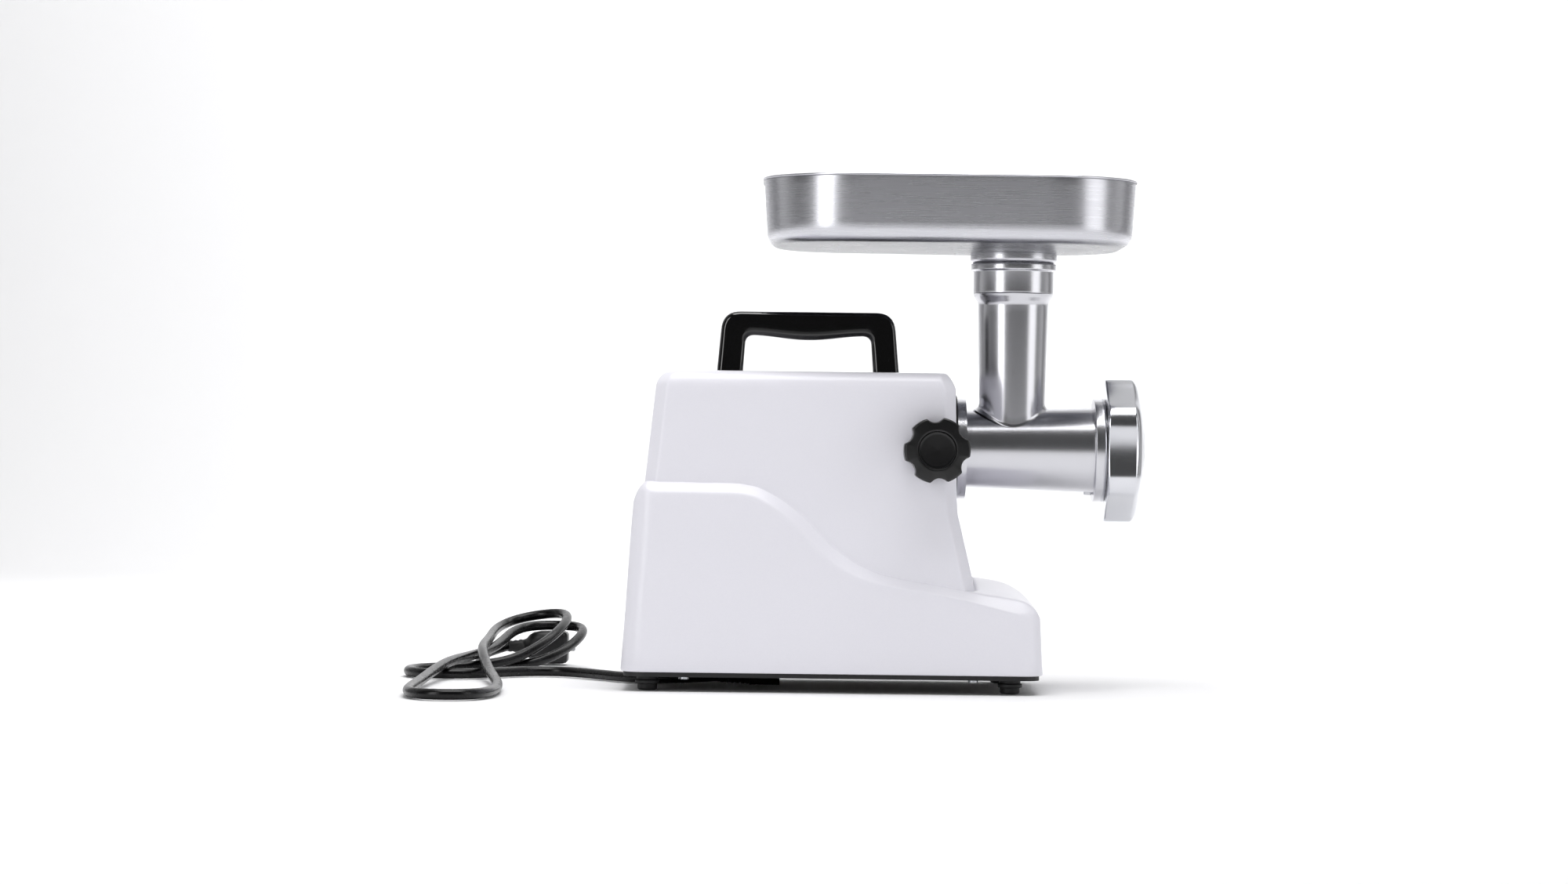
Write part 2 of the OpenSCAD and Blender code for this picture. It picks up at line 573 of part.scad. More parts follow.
// Grinding head: barrel, neck and mouth in one casting.
module grinder_barrel() color("lightgray") difference() {
    union() {
        at(out_yz) rotate([0, 90, 0]) rotate_extrude() polygon([[0, socket_x - spigot_in],
            [spigot_d / 2, socket_x - spigot_in], [spigot_d / 2, socket_x], [barrel_d / 2, socket_x],
            [barrel_d / 2 + 3, barrel_end], [mouth_d / 2, barrel_end], [mouth_d / 2, barrel_end + collar_l],
            [thread_d / 2, barrel_end + collar_l], [thread_d / 2, mouth_x], [0, mouth_x]]);
        translate([neck_cx, 0, axis_z]) rotate_extrude() polygon([[0, 0], [neck_d / 2, 0],
            [neck_d / 2 + 1.5, neck_h - 28.7], [neck_d / 2 + 5, neck_h - 23], [neck_d / 2 + 5, neck_h - 5],
            [lip_d / 2, neck_h - 5], [lip_d / 2, neck_h], [0, neck_h]]);
    }
    at(out_yz) xcyl(socket_x - spigot_in - 1, mouth_x + 1, bore_d / 2);
    at(out_yz) xcyl(auger_x1 - 6, mouth_x + 1, disc_d / 2 - 2);
    at(out_yz) xcyl(disc_x, mouth_x + 1, disc_d / 2 + 0.1);
    translate([neck_cx, 0, axis_z]) cylinder(h = neck_h + 1, d = throat_d);
    plate_key() cylinder(h = 40, d = 3, $fn = 24);
}
// The pin that keys the cutting plate stands half in the barrel's wall.
module plate_key() translate([disc_x - 6, 0, axis_z + disc_d / 2 - 1]) rotate([0, 90, 0]) children();
module plate_pin() color("silver") plate_key() cylinder(h = 5.5 + seat_in, d = 3, $fn = 24);

// Auger: a twisted flight on a tapering core, with a hex tail and a square front.
flight_turns = 3.2;
flight_r = bore_d / 2 - 0.7;
flight_w = 8;
core_r = 11;
hub_l = 8;
module auger_screw() color("lightgray") at(out_yz) difference() {
    union() {
        translate([auger_x0 + hub_l, 0, 0]) rotate([90, 0, 90])
            linear_extrude(auger_x1 - auger_x0 - hub_l, twist = -360 * flight_turns, slices = 90, $fn = 24)
            union() {
                circle(r = core_r);
                translate([0, -flight_w / 2]) square([flight_r, flight_w]);
            }
        xcyl(auger_x0, auger_x0 + hub_l + e, bore_d / 2 - run_gap);
    }
    xcyl(auger_x0 - 1, auger_x0 + 6, 6);
    xcyl(auger_x1 - 10, auger_x1 + 1, 5);
}
module auger_front_pin() color("silver") at(out_yz) {
    xcyl(auger_x1 - 10, auger_x1, 5);
    translate([auger_x1, -square_w / 2, -square_w / 2]) cube([knife_t + 0.3, square_w, square_w]);
    xcyl(auger_x1 + knife_t + 0.3 - e, disc_x + disc_t - 1, pin_d / 2 - run_gap);
}
module auger_tail() color("silver") at(out_yz) {
    xcyl(auger_x0 - 3, auger_x0 + 6, 6);
    translate([auger_x0 - 17, 0, 0]) rotate([0, 90, 0]) cylinder(h = 14 + e, d = hex_af / cos(30), $fn = 6);
}
module auger_washer() color("ivory") at(out_yz) xring(auger_x0 - 1.8, auger_x0, 15, 6.2);
module knife() color("silver") at(out_yz) difference() {
    union() {
        xcyl(auger_x1 + 0.2, auger_x1 + knife_t, 11);
        for (i = [0:3]) rotate([i * 90, 0, 0]) translate([auger_x1 + 0.2, -5, 0])
            cube([knife_t - 0.2, 8, disc_d / 2 - 4]);
    }
    translate([0, -square_w / 2 - 0.1, -square_w / 2 - 0.1]) cube([400, square_w + 0.2, square_w + 0.2]);
}
hole_step = disc_hole * 1.35;
rings = floor((disc_d / 2 - 5.5 - pin_d / 2) / hole_step);
module cutting_plate() color("silver") at(out_yz) difference() {
    xcyl(disc_x, disc_x + disc_t, disc_d / 2);
    xcyl(disc_x - 1, disc_x + disc_t + 1, pin_d / 2);
    for (k = [1:rings], j = [0:6 * k - 1]) rotate([j * 60 / k, 0, 0])
        translate([0, 0, pin_d / 2 + 1.5 + k * hole_step - disc_hole / 2])
        xcyl(disc_x - 1, disc_x + disc_t + 1, disc_hole / 2, $fn = 16);
    translate([disc_x - 1, -1.7, disc_d / 2 - 2.6]) cube([disc_t + 2, 3.4, 6]);
}
// Six scallops in the nut's rim: the radius and the depth of each.
scallop_r = 100;
scallop_in = 6;
module ring_nut() color("silver") at(out_yz) difference() {
    intersection() {
        rotate([90, 0, 90]) translate([0, 0, nut_x0]) linear_extrude(nut_l) difference() {
            circle(r = nut_r);
            for (i = [0:5]) rotate(i * 60) translate([nut_r - scallop_in + scallop_r, 0])
                circle(r = scallop_r, $fn = 256);
        }
        rotate([0, 90, 0]) rotate_extrude() polygon([[0, nut_x0], [nut_r - 1, nut_x0], [nut_r, nut_x0 + 1],
            [nut_r, nut_x1 - 7.8], [nut_r - 4.5, nut_x1 - 4.3], [nut_r - 22, nut_x1], [0, nut_x1]]);
    }
    xcyl(nut_x0 - 1, disc_x + disc_t + 0.2, thread_d / 2 + 0.1);
    xcyl(nut_x0 - 1, nut_x1 + 1, disc_d / 2 - 4);
}

// Tray: a deep pan with a spigot that drops into the neck.
tray_floor = tray_z + 3;
module tray_plan(inset, z0, z1) plan_block(tray_cx - tray_l / 2 + inset, tray_cx + tray_l / 2 - inset,
    tray_w - 2 * inset, tray_r - inset, z0, z1);
module meat_tray() color("lightgray") difference() {
    union() {
        tray_plan(0, tray_floor, tray_floor + tray_h);
        translate([neck_cx, 0, neck_top - spigot_l]) cylinder(h = spigot_l + 10, d = tray_spigot_d);
        translate([neck_cx, 0, neck_top + fit_gap]) cylinder(h = tray_floor - neck_top, d = lip_d + 1);
    }
    tray_plan(tray_t, tray_floor + tray_t, tray_floor + tray_h + 10);
    translate([neck_cx, 0, neck_top - spigot_l - 1]) cylinder(h = spigot_l + 60, d = tray_spigot_d - 3);
}

// Switch, reverse button and overload reset on the far side.
module far_side(x) translate([x, body_w / 2, switch_z]) rotate([-90, 0, 0]) children();
module switch_body() color("black") difference() {
    union() {
        far_side(switch_x) translate([-switch_l / 2 - 2, -switch_h / 2 - 2, 0])
            cube([switch_l + 4, switch_h + 4, 2]);
        far_side(switch_x) translate([-switch_l / 2, -switch_h / 2, -18]) cube([switch_l, switch_h, 18 + e]);
        far_side(switch_x + button_off) cylinder(h = 1.6, d = reverse_d + 5);
        far_side(switch_x - button_off) cylinder(h = 1.6, d = reset_d + 5);
    }
    far_side(switch_x) translate([-switch_l / 2 + 2, -switch_h / 2 + 2, -9])
        cube([switch_l - 4, switch_h - 4, 20]);
    far_side(switch_x + button_off) translate([0, 0, -1]) cylinder(h = 4, d = reverse_d + 0.6);
    far_side(switch_x - button_off) translate([0, 0, -1]) cylinder(h = 4, d = reset_d + 0.6);
}
rock = 9;
module switch_rocker() color("black") translate([switch_x, body_w / 2 - 2, switch_z]) rotate(rock)
    translate([-switch_l / 2 + 3.4, -4, -switch_h / 2 + 2.6]) cube([switch_l - 6.8, 9, switch_h - 5.2]);
module reverse_button() color("black") far_side(switch_x + button_off) translate([0, 0, -6])
    cylinder(h = 11, d = reverse_d);
module reset_button() color("red") far_side(switch_x - button_off) translate([0, 0, -6])
    cylinder(h = 10, d = reset_d);

// Mains lead under the base, out behind the machine, looped and tied, with its plug.
gland_x = -58;
lead_z = 6.2;
module cord_gland() color("black") translate([0, 0, lead_z]) {
    translate([gland_x + 1, -6, -4]) cube([22, 12, 10]);
    rotate([0, 90, 0]) translate([0, 0, gland_x - 21.8]) cylinder(h = 22.8 + e, d1 = cord_d + 1, d2 = 11);
}
// The route's points: out from under the base, past the rear feet, then four loops over a crossing.
cord_points = [[-80, 0, 6.2], [-112, -4, 4.2], [-144, 4, 3.9], [-168, 42, 3.9], [-194, 76, 3.9],
    [-228, 72, 3.9], [-254, 38, 3.9], [-284, 20, 3.9], [-314, 44, 3.9], [-311, 96, 3.9],
    [-276, 116, 3.9], [-236, 120, 8], [-208, 158, 26], [-198, 214, 40], [-212, 242, 41],
    [-243, 244, 36], [-259, 216, 29], [-258, 160, 24], [-259, 100, 22], [-256, 50, 19], [-246, 0, 6],
    [-232, -90, 3.9], [-230, -182, 3.9], [-246, -212, 3.9], [-276, -212, 3.9], [-292, -182, 3.9],
    [-290, -80, 3.9], [-282, 30, 13], [-268, 96, 13], [-252, 160, 17], [-246, 204, 27],
    [-232, 235, 31], [-201, 237, 31], [-184, 208, 30], [-200, 158, 14], [-228, 128, 3.9],
    [-264, 148, 3.9], [-272, 204, 8], [-250, 236, 14]];
// A uniform cubic B-spline along the points, carried on past both ends.
function spline(a, b, c, d, t) = (pow(1 - t, 3) * a + (3 * pow(t, 3) - 6 * t * t + 4) * b
    + (3 * t * t + 3 * t - 3 * pow(t, 3) + 1) * c + pow(t, 3) * d) / 6;
function route(p, n) = let (m = len(p), q = concat([2 * p[0] - p[1]], p, [2 * p[m - 1] - p[m - 2]]))
    [for (i = [0:m - 2], k = [0:n - 1]) spline(q[i], q[i + 1], q[i + 2], q[i + 3], k / n), p[m - 1]];
function unit(v) = v / norm(v);
function ring(p, d, r, n) = let (s = unit(cross(d, [0, 0, 1])), u = cross(s, d))
    [for (k = [0:n - 1]) p + r * (cos(k * 360 / n) * s + sin(k * 360 / n) * u)];
module tube(p, r, n) {
    m = len(p);
    rings = [for (i = [0:m - 1]) ring(p[i], unit(p[min(i + 1, m - 1)] - p[max(i - 1, 0)]), r, n)];
    sides = [for (i = [0:m - 2], k = [0:n - 1])
        [i * n + k, (i + 1) * n + k, (i + 1) * n + (k + 1) % n, i * n + (k + 1) % n]];
    polyhedron([for (g = rings, q = g) q],
        concat(sides, [[for (k = [0:n - 1]) k], [for (k = [n - 1:-1:0]) (m - 1) * n + k]]));
}
module power_cord() color("black") tube(route(cord_points, 2), cord_d / 2, 10);
// The plug lies under the tips of the loops, its blades away from the lead.
plug_l = 32;
plug_w = 28;
plug_h = 26;
relief_l = 16;
plug_at = cord_points[len(cord_points) - 1];
module plug_body() color("black") translate(plug_at) {
    translate([relief_l, -plug_w / 2, -plug_at[2] + 0.6]) cube([plug_l, plug_w, plug_h]);
    rotate([0, 90, 0]) cylinder(h = relief_l + e, d1 = cord_d + 1.5, d2 = 14);
}
module plug_blades() color("silver") translate(plug_at) for (s = [-1, 1])
    translate([relief_l + plug_l, s * 6.3 - 0.75, -3]) cube([5, 1.5, 6]);

lower_casing();
upper_casing();
base_plate();
rubber_feet();
foot_screws();
casing_screws();
carry_handle();
handle_screws();
socket_gasket();
gearbox_case();
gearbox_cover();
gearbox_screws();
output_bearings();
output_seal();
output_shaft();
output_gear();
second_shaft();
second_gear();
first_shaft();
first_gear();
countershaft_bushes();
motor_shaft();
rotor_core();
rotor_windings();
commutator();
motor_fan();
motor_bearings();
stator_core();
stator_coils();
motor_brackets();
motor_bolts();
brush_holders();
carbon_brushes();
lock_knob();
knob_cap();
lock_stud();
lock_washer();
knob_bush();
grinder_barrel();
plate_pin();
auger_screw();
auger_front_pin();
auger_tail();
auger_washer();
knife();
cutting_plate();
ring_nut();
meat_tray();
switch_body();
switch_rocker();
reverse_button();
reset_button();
cord_gland();
power_cord();
plug_body();
plug_blades();
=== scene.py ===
"""Electric meat grinder: finished surfaces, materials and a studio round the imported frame."""

import math

import bpy
import numpy as np
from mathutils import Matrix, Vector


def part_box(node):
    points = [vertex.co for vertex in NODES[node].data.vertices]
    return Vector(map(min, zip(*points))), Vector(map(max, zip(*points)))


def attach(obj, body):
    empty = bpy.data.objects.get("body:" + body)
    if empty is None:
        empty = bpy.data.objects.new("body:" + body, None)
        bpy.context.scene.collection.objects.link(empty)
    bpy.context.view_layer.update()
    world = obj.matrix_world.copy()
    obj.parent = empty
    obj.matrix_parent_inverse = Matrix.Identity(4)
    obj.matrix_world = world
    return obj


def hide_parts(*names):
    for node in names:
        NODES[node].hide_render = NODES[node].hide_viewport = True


bl_info = {
    "name": "Meat grinder",
    "version": (1, 0, 0),
    "blender": (4, 5, 0),
    "location": "View3D > Sidebar > Grinder",
    "description": "Builds the casings, head, tray, knob, lead and materials of a meat grinder",
    "category": "Object",
}

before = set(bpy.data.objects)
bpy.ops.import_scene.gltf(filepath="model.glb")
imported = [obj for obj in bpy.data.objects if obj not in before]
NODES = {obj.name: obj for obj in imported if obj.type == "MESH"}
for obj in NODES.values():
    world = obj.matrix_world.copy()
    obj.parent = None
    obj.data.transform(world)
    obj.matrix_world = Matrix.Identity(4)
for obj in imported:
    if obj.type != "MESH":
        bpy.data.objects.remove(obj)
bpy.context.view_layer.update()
MM = 0.001
MERGE = 0.01  # millimetres within which two points are one


def box_mm(node):
    """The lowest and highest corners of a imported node, in millimetres."""
    low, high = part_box(node)
    return np.array(low) / MM, np.array(high) / MM


LOWER, UPPER, TRAY = box_mm("lower_casing"), box_mm("upper_casing"), box_mm("meat_tray")
BARREL, NUT, KNOB = box_mm("grinder_barrel"), box_mm("ring_nut"), box_mm("lock_knob")
HANDLE, AUGER = box_mm("carry_handle"), box_mm("auger_screw")
PLUG, GLAND = box_mm("plug_body"), box_mm("cord_gland")
GASKET, SOCKET = box_mm("socket_gasket"), box_mm("gearbox_case")
AXIS_Z = (NUT[0][2] + NUT[1][2]) / 2
KNOB_X, KNOB_Z = (KNOB[0][0] + KNOB[1][0]) / 2, (KNOB[0][2] + KNOB[1][2]) / 2


# Grids and pieces


def grid_faces(rows, columns, around):
    """Quads between neighbouring rows and columns of a grid; `around` joins the last column to the first."""
    i = np.arange(rows - 1)[:, None]
    j = np.arange(columns if around else columns - 1)[None, :]
    a, b = i * columns + j, i * columns + (j + 1) % columns
    c, d = (i + 1) * columns + (j + 1) % columns, (i + 1) * columns + j
    return np.stack([a + 0 * j, b + 0 * j, c + 0 * j, d + 0 * j], axis=-1).reshape(-1, 4)


def join(*parts):
    """Several (points, faces) pairs as one pair."""
    points, faces, start = [], [], 0
    for p, f in parts:
        p = p.reshape(-1, 3)
        points.append(p)
        faces.append(f + start)
        start += len(p)
    return np.concatenate(points), np.concatenate(faces)


def surface(p, around=True):
    """A grid of points, rows by columns by three, with its quads."""
    return p.reshape(-1, 3), grid_faces(p.shape[0], p.shape[1], around)


def make(name, parts, body, material, replaces=(), wall=0.0):
    """A mesh object from (points, faces) in millimetres, its doubles merged and its normals turned outwards,
    riding on a body; `wall` is a Solidify thickness inwards."""
    points, faces = join(*parts)
    mesh = bpy.data.meshes.new(name)
    mesh.from_pydata((points * MM).tolist(), [], faces.tolist())
    piece = bpy.data.objects.new(name, mesh)
    bpy.context.scene.collection.objects.link(piece)
    tidy(mesh, MERGE * MM)
    mesh.materials.append(material)
    mesh.shade_smooth()
    if wall:
        solid = piece.modifiers.new("wall", "SOLIDIFY")
        solid.thickness, solid.offset, solid.use_even_offset = wall * MM, -1, True
    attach(piece, body)
    if replaces:
        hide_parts(*replaces)
    return piece


def tidy(mesh, distance):
    """Merge doubles, drop faces without area and turn the normals outwards."""
    import bmesh

    work = bmesh.new()
    work.from_mesh(mesh)
    bmesh.ops.remove_doubles(work, verts=work.verts, dist=distance)
    bmesh.ops.dissolve_degenerate(work, edges=work.edges, dist=distance)
    bmesh.ops.recalc_face_normals(work, faces=work.faces)
    work.to_mesh(mesh)
    work.free()


def bend(points, radii, steps=5):
    """A polyline with each inner corner turned into an arc: a quadratic curve between the tangent points,
    which lie the radius away from the corner on both legs."""
    p = [np.array(q, float) for q in points]
    out = [p[0]]
    for a, b, c, r in zip(p, p[1:], p[2:], radii):
        u, v = (a - b) / np.linalg.norm(a - b), (c - b) / np.linalg.norm(c - b)
        t = np.linspace(0, 1, steps)[:, None] if r > 0 else np.array([[0.5]])
        s, e = b + u * r, b + v * r
        out.extend((1 - t) ** 2 * s + 2 * t * (1 - t) * b + t**2 * e)
    out.append(p[-1])
    return np.array(out)


def turned(profile, centre, axis, segments=96):
    """A profile of (radius, height) pairs turned about an axis through the centre: x or z upwards, or y
    towards the viewer."""
    angle = np.linspace(0, 2 * np.pi, segments, endpoint=False)
    r, h = profile[:, 0][:, None], profile[:, 1][:, None] + 0 * angle
    a, b = r * np.cos(angle), r * np.sin(angle)
    order = {"x": (h, a, b), "z": (a, b, h), "-y": (a, -h, b), "y": (a, h, b), "-x": (-h, a, b)}[axis]
    return surface(np.stack(order, axis=-1) + np.array(centre))


def oval(x0, x1, half, radius, side=18, corner=12, end=10, flat=0.0):
    """Points round a rounded rectangle, the same number whatever its size: two long sides, two ends and
    four quarter circles, or four slanting flats whose own ends are rounded over the length `flat`."""
    radius = min(radius, half - 0.01, (x1 - x0) / 2 - 0.01)
    t = np.linspace(0, np.pi / 2, corner, endpoint=False)
    arc = np.stack([np.sin(t), -np.cos(t)], axis=1) * radius
    if flat:
        arc = bend([(-flat, -radius), (0, -radius), (radius, 0), (radius, flat)], [flat, flat],
                   steps=corner // 2)[1:-1]
    parts = []
    corners = [(x1 - radius, -half + radius), (x1 - radius, half - radius),
               (x0 + radius, half - radius), (x0 + radius, -half + radius)]
    for k, (cx, cy) in enumerate(corners):
        c, s = [(1, 0), (0, 1), (-1, 0), (0, -1)][k]
        turn = np.array([[c, -s], [s, c]])
        parts.append(arc @ turn.T + (cx, cy))
        nx, ny = corners[(k + 1) % 4]
        start = np.array([cx, cy]) + turn @ np.array([radius, flat])
        stop = np.array([nx, ny]) + turn @ np.array([radius, -flat])
        n = end if k % 2 == 0 else side
        parts.append(start + (stop - start) * (np.arange(n) / n)[:, None])
    return np.concatenate(parts)


def at_height(xy, z):
    """Plan points with a height, which may differ from point to point."""
    return np.column_stack([xy, np.broadcast_to(z, len(xy))])


# Casings

LINES = {
    "crown": [(-148, 13), (-140, 138), (-132, 149.5), (-65, 147.5), (-51, 145), (-38.5, 138.6),
              (-27.4, 131.3), (-16.3, 122.2), (-7, 111.3), (4, 101.2), (18.8, 91.2), (35.5, 84.1),
              (52, 80.5), (88, 81),
              (105, 80.7), (121, 78.6), (130.6, 75.9), (138, 71.5), (143, 67.5), (150, 57), (152, 13)],
    "inner": [(-148, 13), (-140, 138), (-132, 148.6), (-65, 147.5), (-51, 145), (-38.5, 138.6),
              (-27.4, 131.3), (-16.3, 122.2), (-7, 111.3), (4, 101.2), (18.8, 91.2), (35.5, 84.1),
              (52, 80.5), (77, 76.5),
              (105, 71.4), (138, 66.3), (146, 61), (150, 54), (152, 13)],
    "outer": [(-148, 13), (-140, 136.5), (-132, 140.6), (-64, 140.2), (-53, 137.6), (-42, 132), (-31, 124),
              (-22, 115.8), (-14.5, 106.6), (-3.4, 95.7), (11.3, 85.7), (26, 79.4), (41, 75.9), (77, 69.9),
              (97, 66.3), (125, 59), (140, 55.5), (147, 53), (150, 50), (152, 13)],
}
STEP, CORNER = 7.0, 16.0


def line_height(name, x):
    """Height of one of the casing's long lines: straight runs between its points, averaged over a window of
    nine millimetres, with both ends left as they are."""
    fine = np.arange(-144, 150.6, 0.5)
    points = np.array(LINES[name])
    z = np.interp(fine, points[:, 0], points[:, 1])
    window = np.hanning(21) / np.hanning(21).sum()
    soft = np.convolve(np.pad(z, 10, mode="edge"), window, mode="valid")
    edge = np.clip(np.minimum(fine - fine[0], fine[-1] - fine) / 10, 0, 1)
    return np.interp(x, fine, z + (soft - z) * edge)


def shoulder(x):
    """Height of the line at the foot of the upper casing."""
    return line_height("inner", x)


def lower_plan(z, inset=0.0):
    """Outline of the lower casing at a height: the rear and front lean in a little as they rise."""
    back = LOWER[0][0] + 8 * np.clip((z - LOWER[0][2]) / 125, 0, 1)
    front = LOWER[1][0] - 2 * np.clip((z - LOWER[0][2]) / 44, 0, 1)
    return oval(back + inset, front - inset, LOWER[1][1] - inset, CORNER - inset, side=70, corner=12, end=24)


def roof(xy):
    """Height of the step and the toe. Across the step it runs straight from the outer line to the inner
    one, and inside that it rises as 1 - (y / half)^2 from the inner line to the crown."""
    x, y = xy[:, 0], np.abs(xy[:, 1])
    outer, inner, crown = (line_height(name, x) for name in ("outer", "inner", "crown"))
    share = np.clip((LOWER[1][1] - y) / STEP, 0, 1)
    dome = np.clip(1 - (y / (LOWER[1][1] - STEP)) ** 2, 0, 1)
    return outer + (inner - outer) * share + (crown - inner) * dome


def lower_casing(white):
    """Rows of outlines from the lip under the base up the walls, round the edge of the step, across it to
    the foot of the upper casing, and down inside."""
    fillet = 1.6
    floor = LOWER[0][2]
    top = lower_plan(60.0)
    for _ in range(3):
        heights = roof(top)
        top = np.array([lower_plan(z)[k] for k, z in enumerate(heights)])
    rows = [at_height(lower_plan(floor, 3.0), floor), at_height(lower_plan(floor, 1.2), floor),
            at_height(lower_plan(floor, 0.3), floor + 0.4), at_height(lower_plan(floor), floor + 1.4)]
    wall = roof(top) - fillet
    for t in np.linspace(0.08, 1, 14):
        z = floor + 1.4 + (wall - floor - 1.4) * t
        bottom = lower_plan(floor)
        rows.append(at_height(bottom + (top - bottom) * t, z))
    inner = oval(UPPER[0][0] + 1.5, UPPER[1][0] - 1.5, UPPER[1][1] - 1.5, 9, side=70, corner=12, end=24)
    span = np.linalg.norm(inner - top, axis=1)
    for inset in [0.25, 0.8, 1.6, 3.0, 4.5, 6.0, 7.0, 8.0]:
        share = inset / span
        xy = top + (inner - top) * np.minimum(share, 1)[:, None]
        drop = fillet - np.sqrt(np.maximum(fillet**2 - np.maximum(fillet - inset, 0) ** 2, 0))
        rows.append(at_height(xy, roof(xy) - drop))
    reach = np.minimum(8.0 / span, 1)
    for t in np.linspace(0, 1, 12)[1:]:
        xy = top + (inner - top) * (reach + (1 - reach) * t)[:, None]
        rows.append(at_height(xy, roof(xy)))
    rows.append(at_height(inner, roof(inner) - 3.5))
    make("lower_shell", [surface(np.array(rows))], "housing", white, ["lower_casing"],
         wall=2.4)


def upper_casing(white):
    """Outlines stacked from the shoulder line to the top edge, which is rounded, then drawn in to a spine."""
    top, radius = UPPER[1][2], 12.0
    back = lambda z: np.interp(z, [60, 146, top], [-133.5, -132.5, -124.0])
    front = lambda z: np.interp(z, [68, 118, 127, 140, 216, top],
                                [UPPER[1][0] - 0.5, 92.6, 90.4, 89.4, 88, 84])
    half = UPPER[1][1]
    plan = lambda z, inset=0.0, cut=0.0: oval(back(z) + inset, front(z) - cut, half - inset,
                                              8.0 - inset * 0.3, side=60, corner=12, end=22, flat=1.6)
    foot = plan(100.0)
    for _ in range(3):
        foot = np.array([plan(z)[k] for k, z in enumerate(shoulder(foot[:, 0]))])
    low = shoulder(foot[:, 0]) - 2.5
    rows = []
    for t in np.linspace(0, 1, 34):
        z = low + (top - radius - low) * t
        rows.append(at_height(np.array([plan(h)[k] for k, h in enumerate(z)]), z))
    for a in np.linspace(0, 90, 12)[1:]:
        z = top - radius * (1 - math.sin(math.radians(a)))
        inset = radius * (1 - math.cos(math.radians(a)))
        rows.append(at_height(plan(z, inset, inset * 0.35), z))
    edge = rows[-1][:, :2]
    spine = np.column_stack([np.clip(edge[:, 0], -60, 30), 0 * edge[:, 1]])
    for t in [0.03, 0.1, 0.35, 0.7, 1.0]:
        rows.append(at_height(edge + (spine - edge) * t, top))
    make("upper_shell", [surface(np.array(rows))], "housing", white, ["upper_casing"])


def carry_handle(black):
    """A rounded-rectangle section carried along a bail: up one leg, round the corner, along the grip, which
    is thicker in its middle, and down the other leg."""
    low, high = HANDLE
    cx, half_l, width = (low[0] + high[0]) / 2, (high[0] - low[0]) / 2, (high[1] - low[1]) / 2
    outer = bend([(-half_l, low[2] - 1), (-half_l + 4, high[2]), (half_l - 4, high[2]), (half_l, low[2] - 1)],
                 [13, 13], steps=14)
    inner = bend([(-half_l + 19, low[2] - 1), (-half_l + 21, high[2] - 17.3), (half_l - 21, high[2] - 17.3),
                  (half_l - 19, low[2] - 1)], [6, 6], steps=14)

    def spread(line, n):
        """The same number of evenly spaced points along each line."""
        s = np.r_[0, np.cumsum(np.linalg.norm(np.diff(line, axis=0), axis=1))]
        t = np.linspace(0, s[-1], n)
        return np.column_stack([np.interp(t, s, line[:, 0]), np.interp(t, s, line[:, 1])])

    def matched(line, n):
        """Points spaced evenly within each leg and within the grip, so that both lines keep pace."""
        k = len(line)
        corner_a, corner_b = 1 + 7, k - 1 - 8
        parts = [spread(line[: corner_a + 1], n)[:-1], spread(line[corner_a : corner_b + 1], 3 * n)[:-1],
                 spread(line[corner_b:], n)]
        return np.concatenate(parts)

    a, b = matched(outer, 16), matched(inner, 16)
    grip = np.clip(1 - np.abs(b[:, 0]) / (half_l - 24), 0, 1)
    b[:, 1] -= 3.2 * np.sin(grip * np.pi / 2) ** 2 * (b[:, 1] > low[2] + 20)
    middle, reach = (a + b) / 2, (a - b) / 2
    thick = np.linalg.norm(reach, axis=1)[:, None]
    across = reach / thick
    soft, n = 4.2, 7
    t = np.linspace(0, np.pi / 2, n)
    rows = []
    for sx, sy in [(1, 1), (-1, 1), (-1, -1), (1, -1)]:
        angle = t if sx * sy > 0 else t[::-1]
        u = (thick - soft) * sx + soft * sx * np.cos(angle)[None, :]
        v = (width - soft) * sy + soft * sy * np.sin(angle)[None, :] + 0 * thick
        rows.append((u, v))
    u = np.concatenate([r[0] for r in rows], axis=1)
    v = np.concatenate([r[1] for r in rows], axis=1)
    points = np.stack([cx + middle[:, :1] + across[:, :1] * u, v, middle[:, 1:] + across[:, 1:] * u], axis=-1)
    make("handle_bail", [surface(points)], "housing", black, ["carry_handle"])


def gasket_and_socket(rubber, cast):
    """The gasket is a soft ring; the socket's lip is a turned ring with a small chamfer and a deep bore."""
    r = (GASKET[1][1] - GASKET[0][1]) / 2
    x = UPPER[1][0] - 18.0
    ring = bend([(r - 4, x - 2), (r + 0.4, x - 2), (r + 0.4, x + 4.6), (r - 4, x + 4.6)], [1.2, 1.2])
    make("gasket_ring", [turned(ring, (0, 0, AXIS_Z), "x", 128)], "housing", rubber,
         ["socket_gasket"])
    bore = (BARREL[0][0] + 40, 26.1)
    lip = bend([(36.5, x - 3), (36.5, SOCKET[1][0] - 0.2), (bore[1], SOCKET[1][0] - 0.2), (bore[1], x - 3)],
               [1.4, 1.2])
    make("socket_lip", [turned(lip, (0, 0, AXIS_Z), "x", 128)], "housing", cast)


# Head


def swept_saddle(radius, fillet, barrel, n=144):
    """The fillet between an upright neck and a level barrel. For each direction round the neck the
    fillet's centre lies one fillet radius off both cylinders, and an arc joins the two tangent points."""
    t = np.linspace(0, 2 * np.pi, n, endpoint=False)
    far = radius + fillet
    c = np.stack([far * np.cos(t), far * np.sin(t),
                  np.sqrt((barrel + fillet) ** 2 - (far * np.sin(t)) ** 2)], axis=1)
    to_neck = -np.stack([np.cos(t), np.sin(t), 0 * t], axis=1)
    to_barrel = -np.stack([0 * t, c[:, 1], c[:, 2]], axis=1) / (barrel + fillet)
    rows = []
    for s in np.linspace(0, 1, 9):
        d = to_barrel * (1 - s) + to_neck * s
        rows.append(c + fillet * d / np.linalg.norm(d, axis=1)[:, None])
    return np.array(rows)


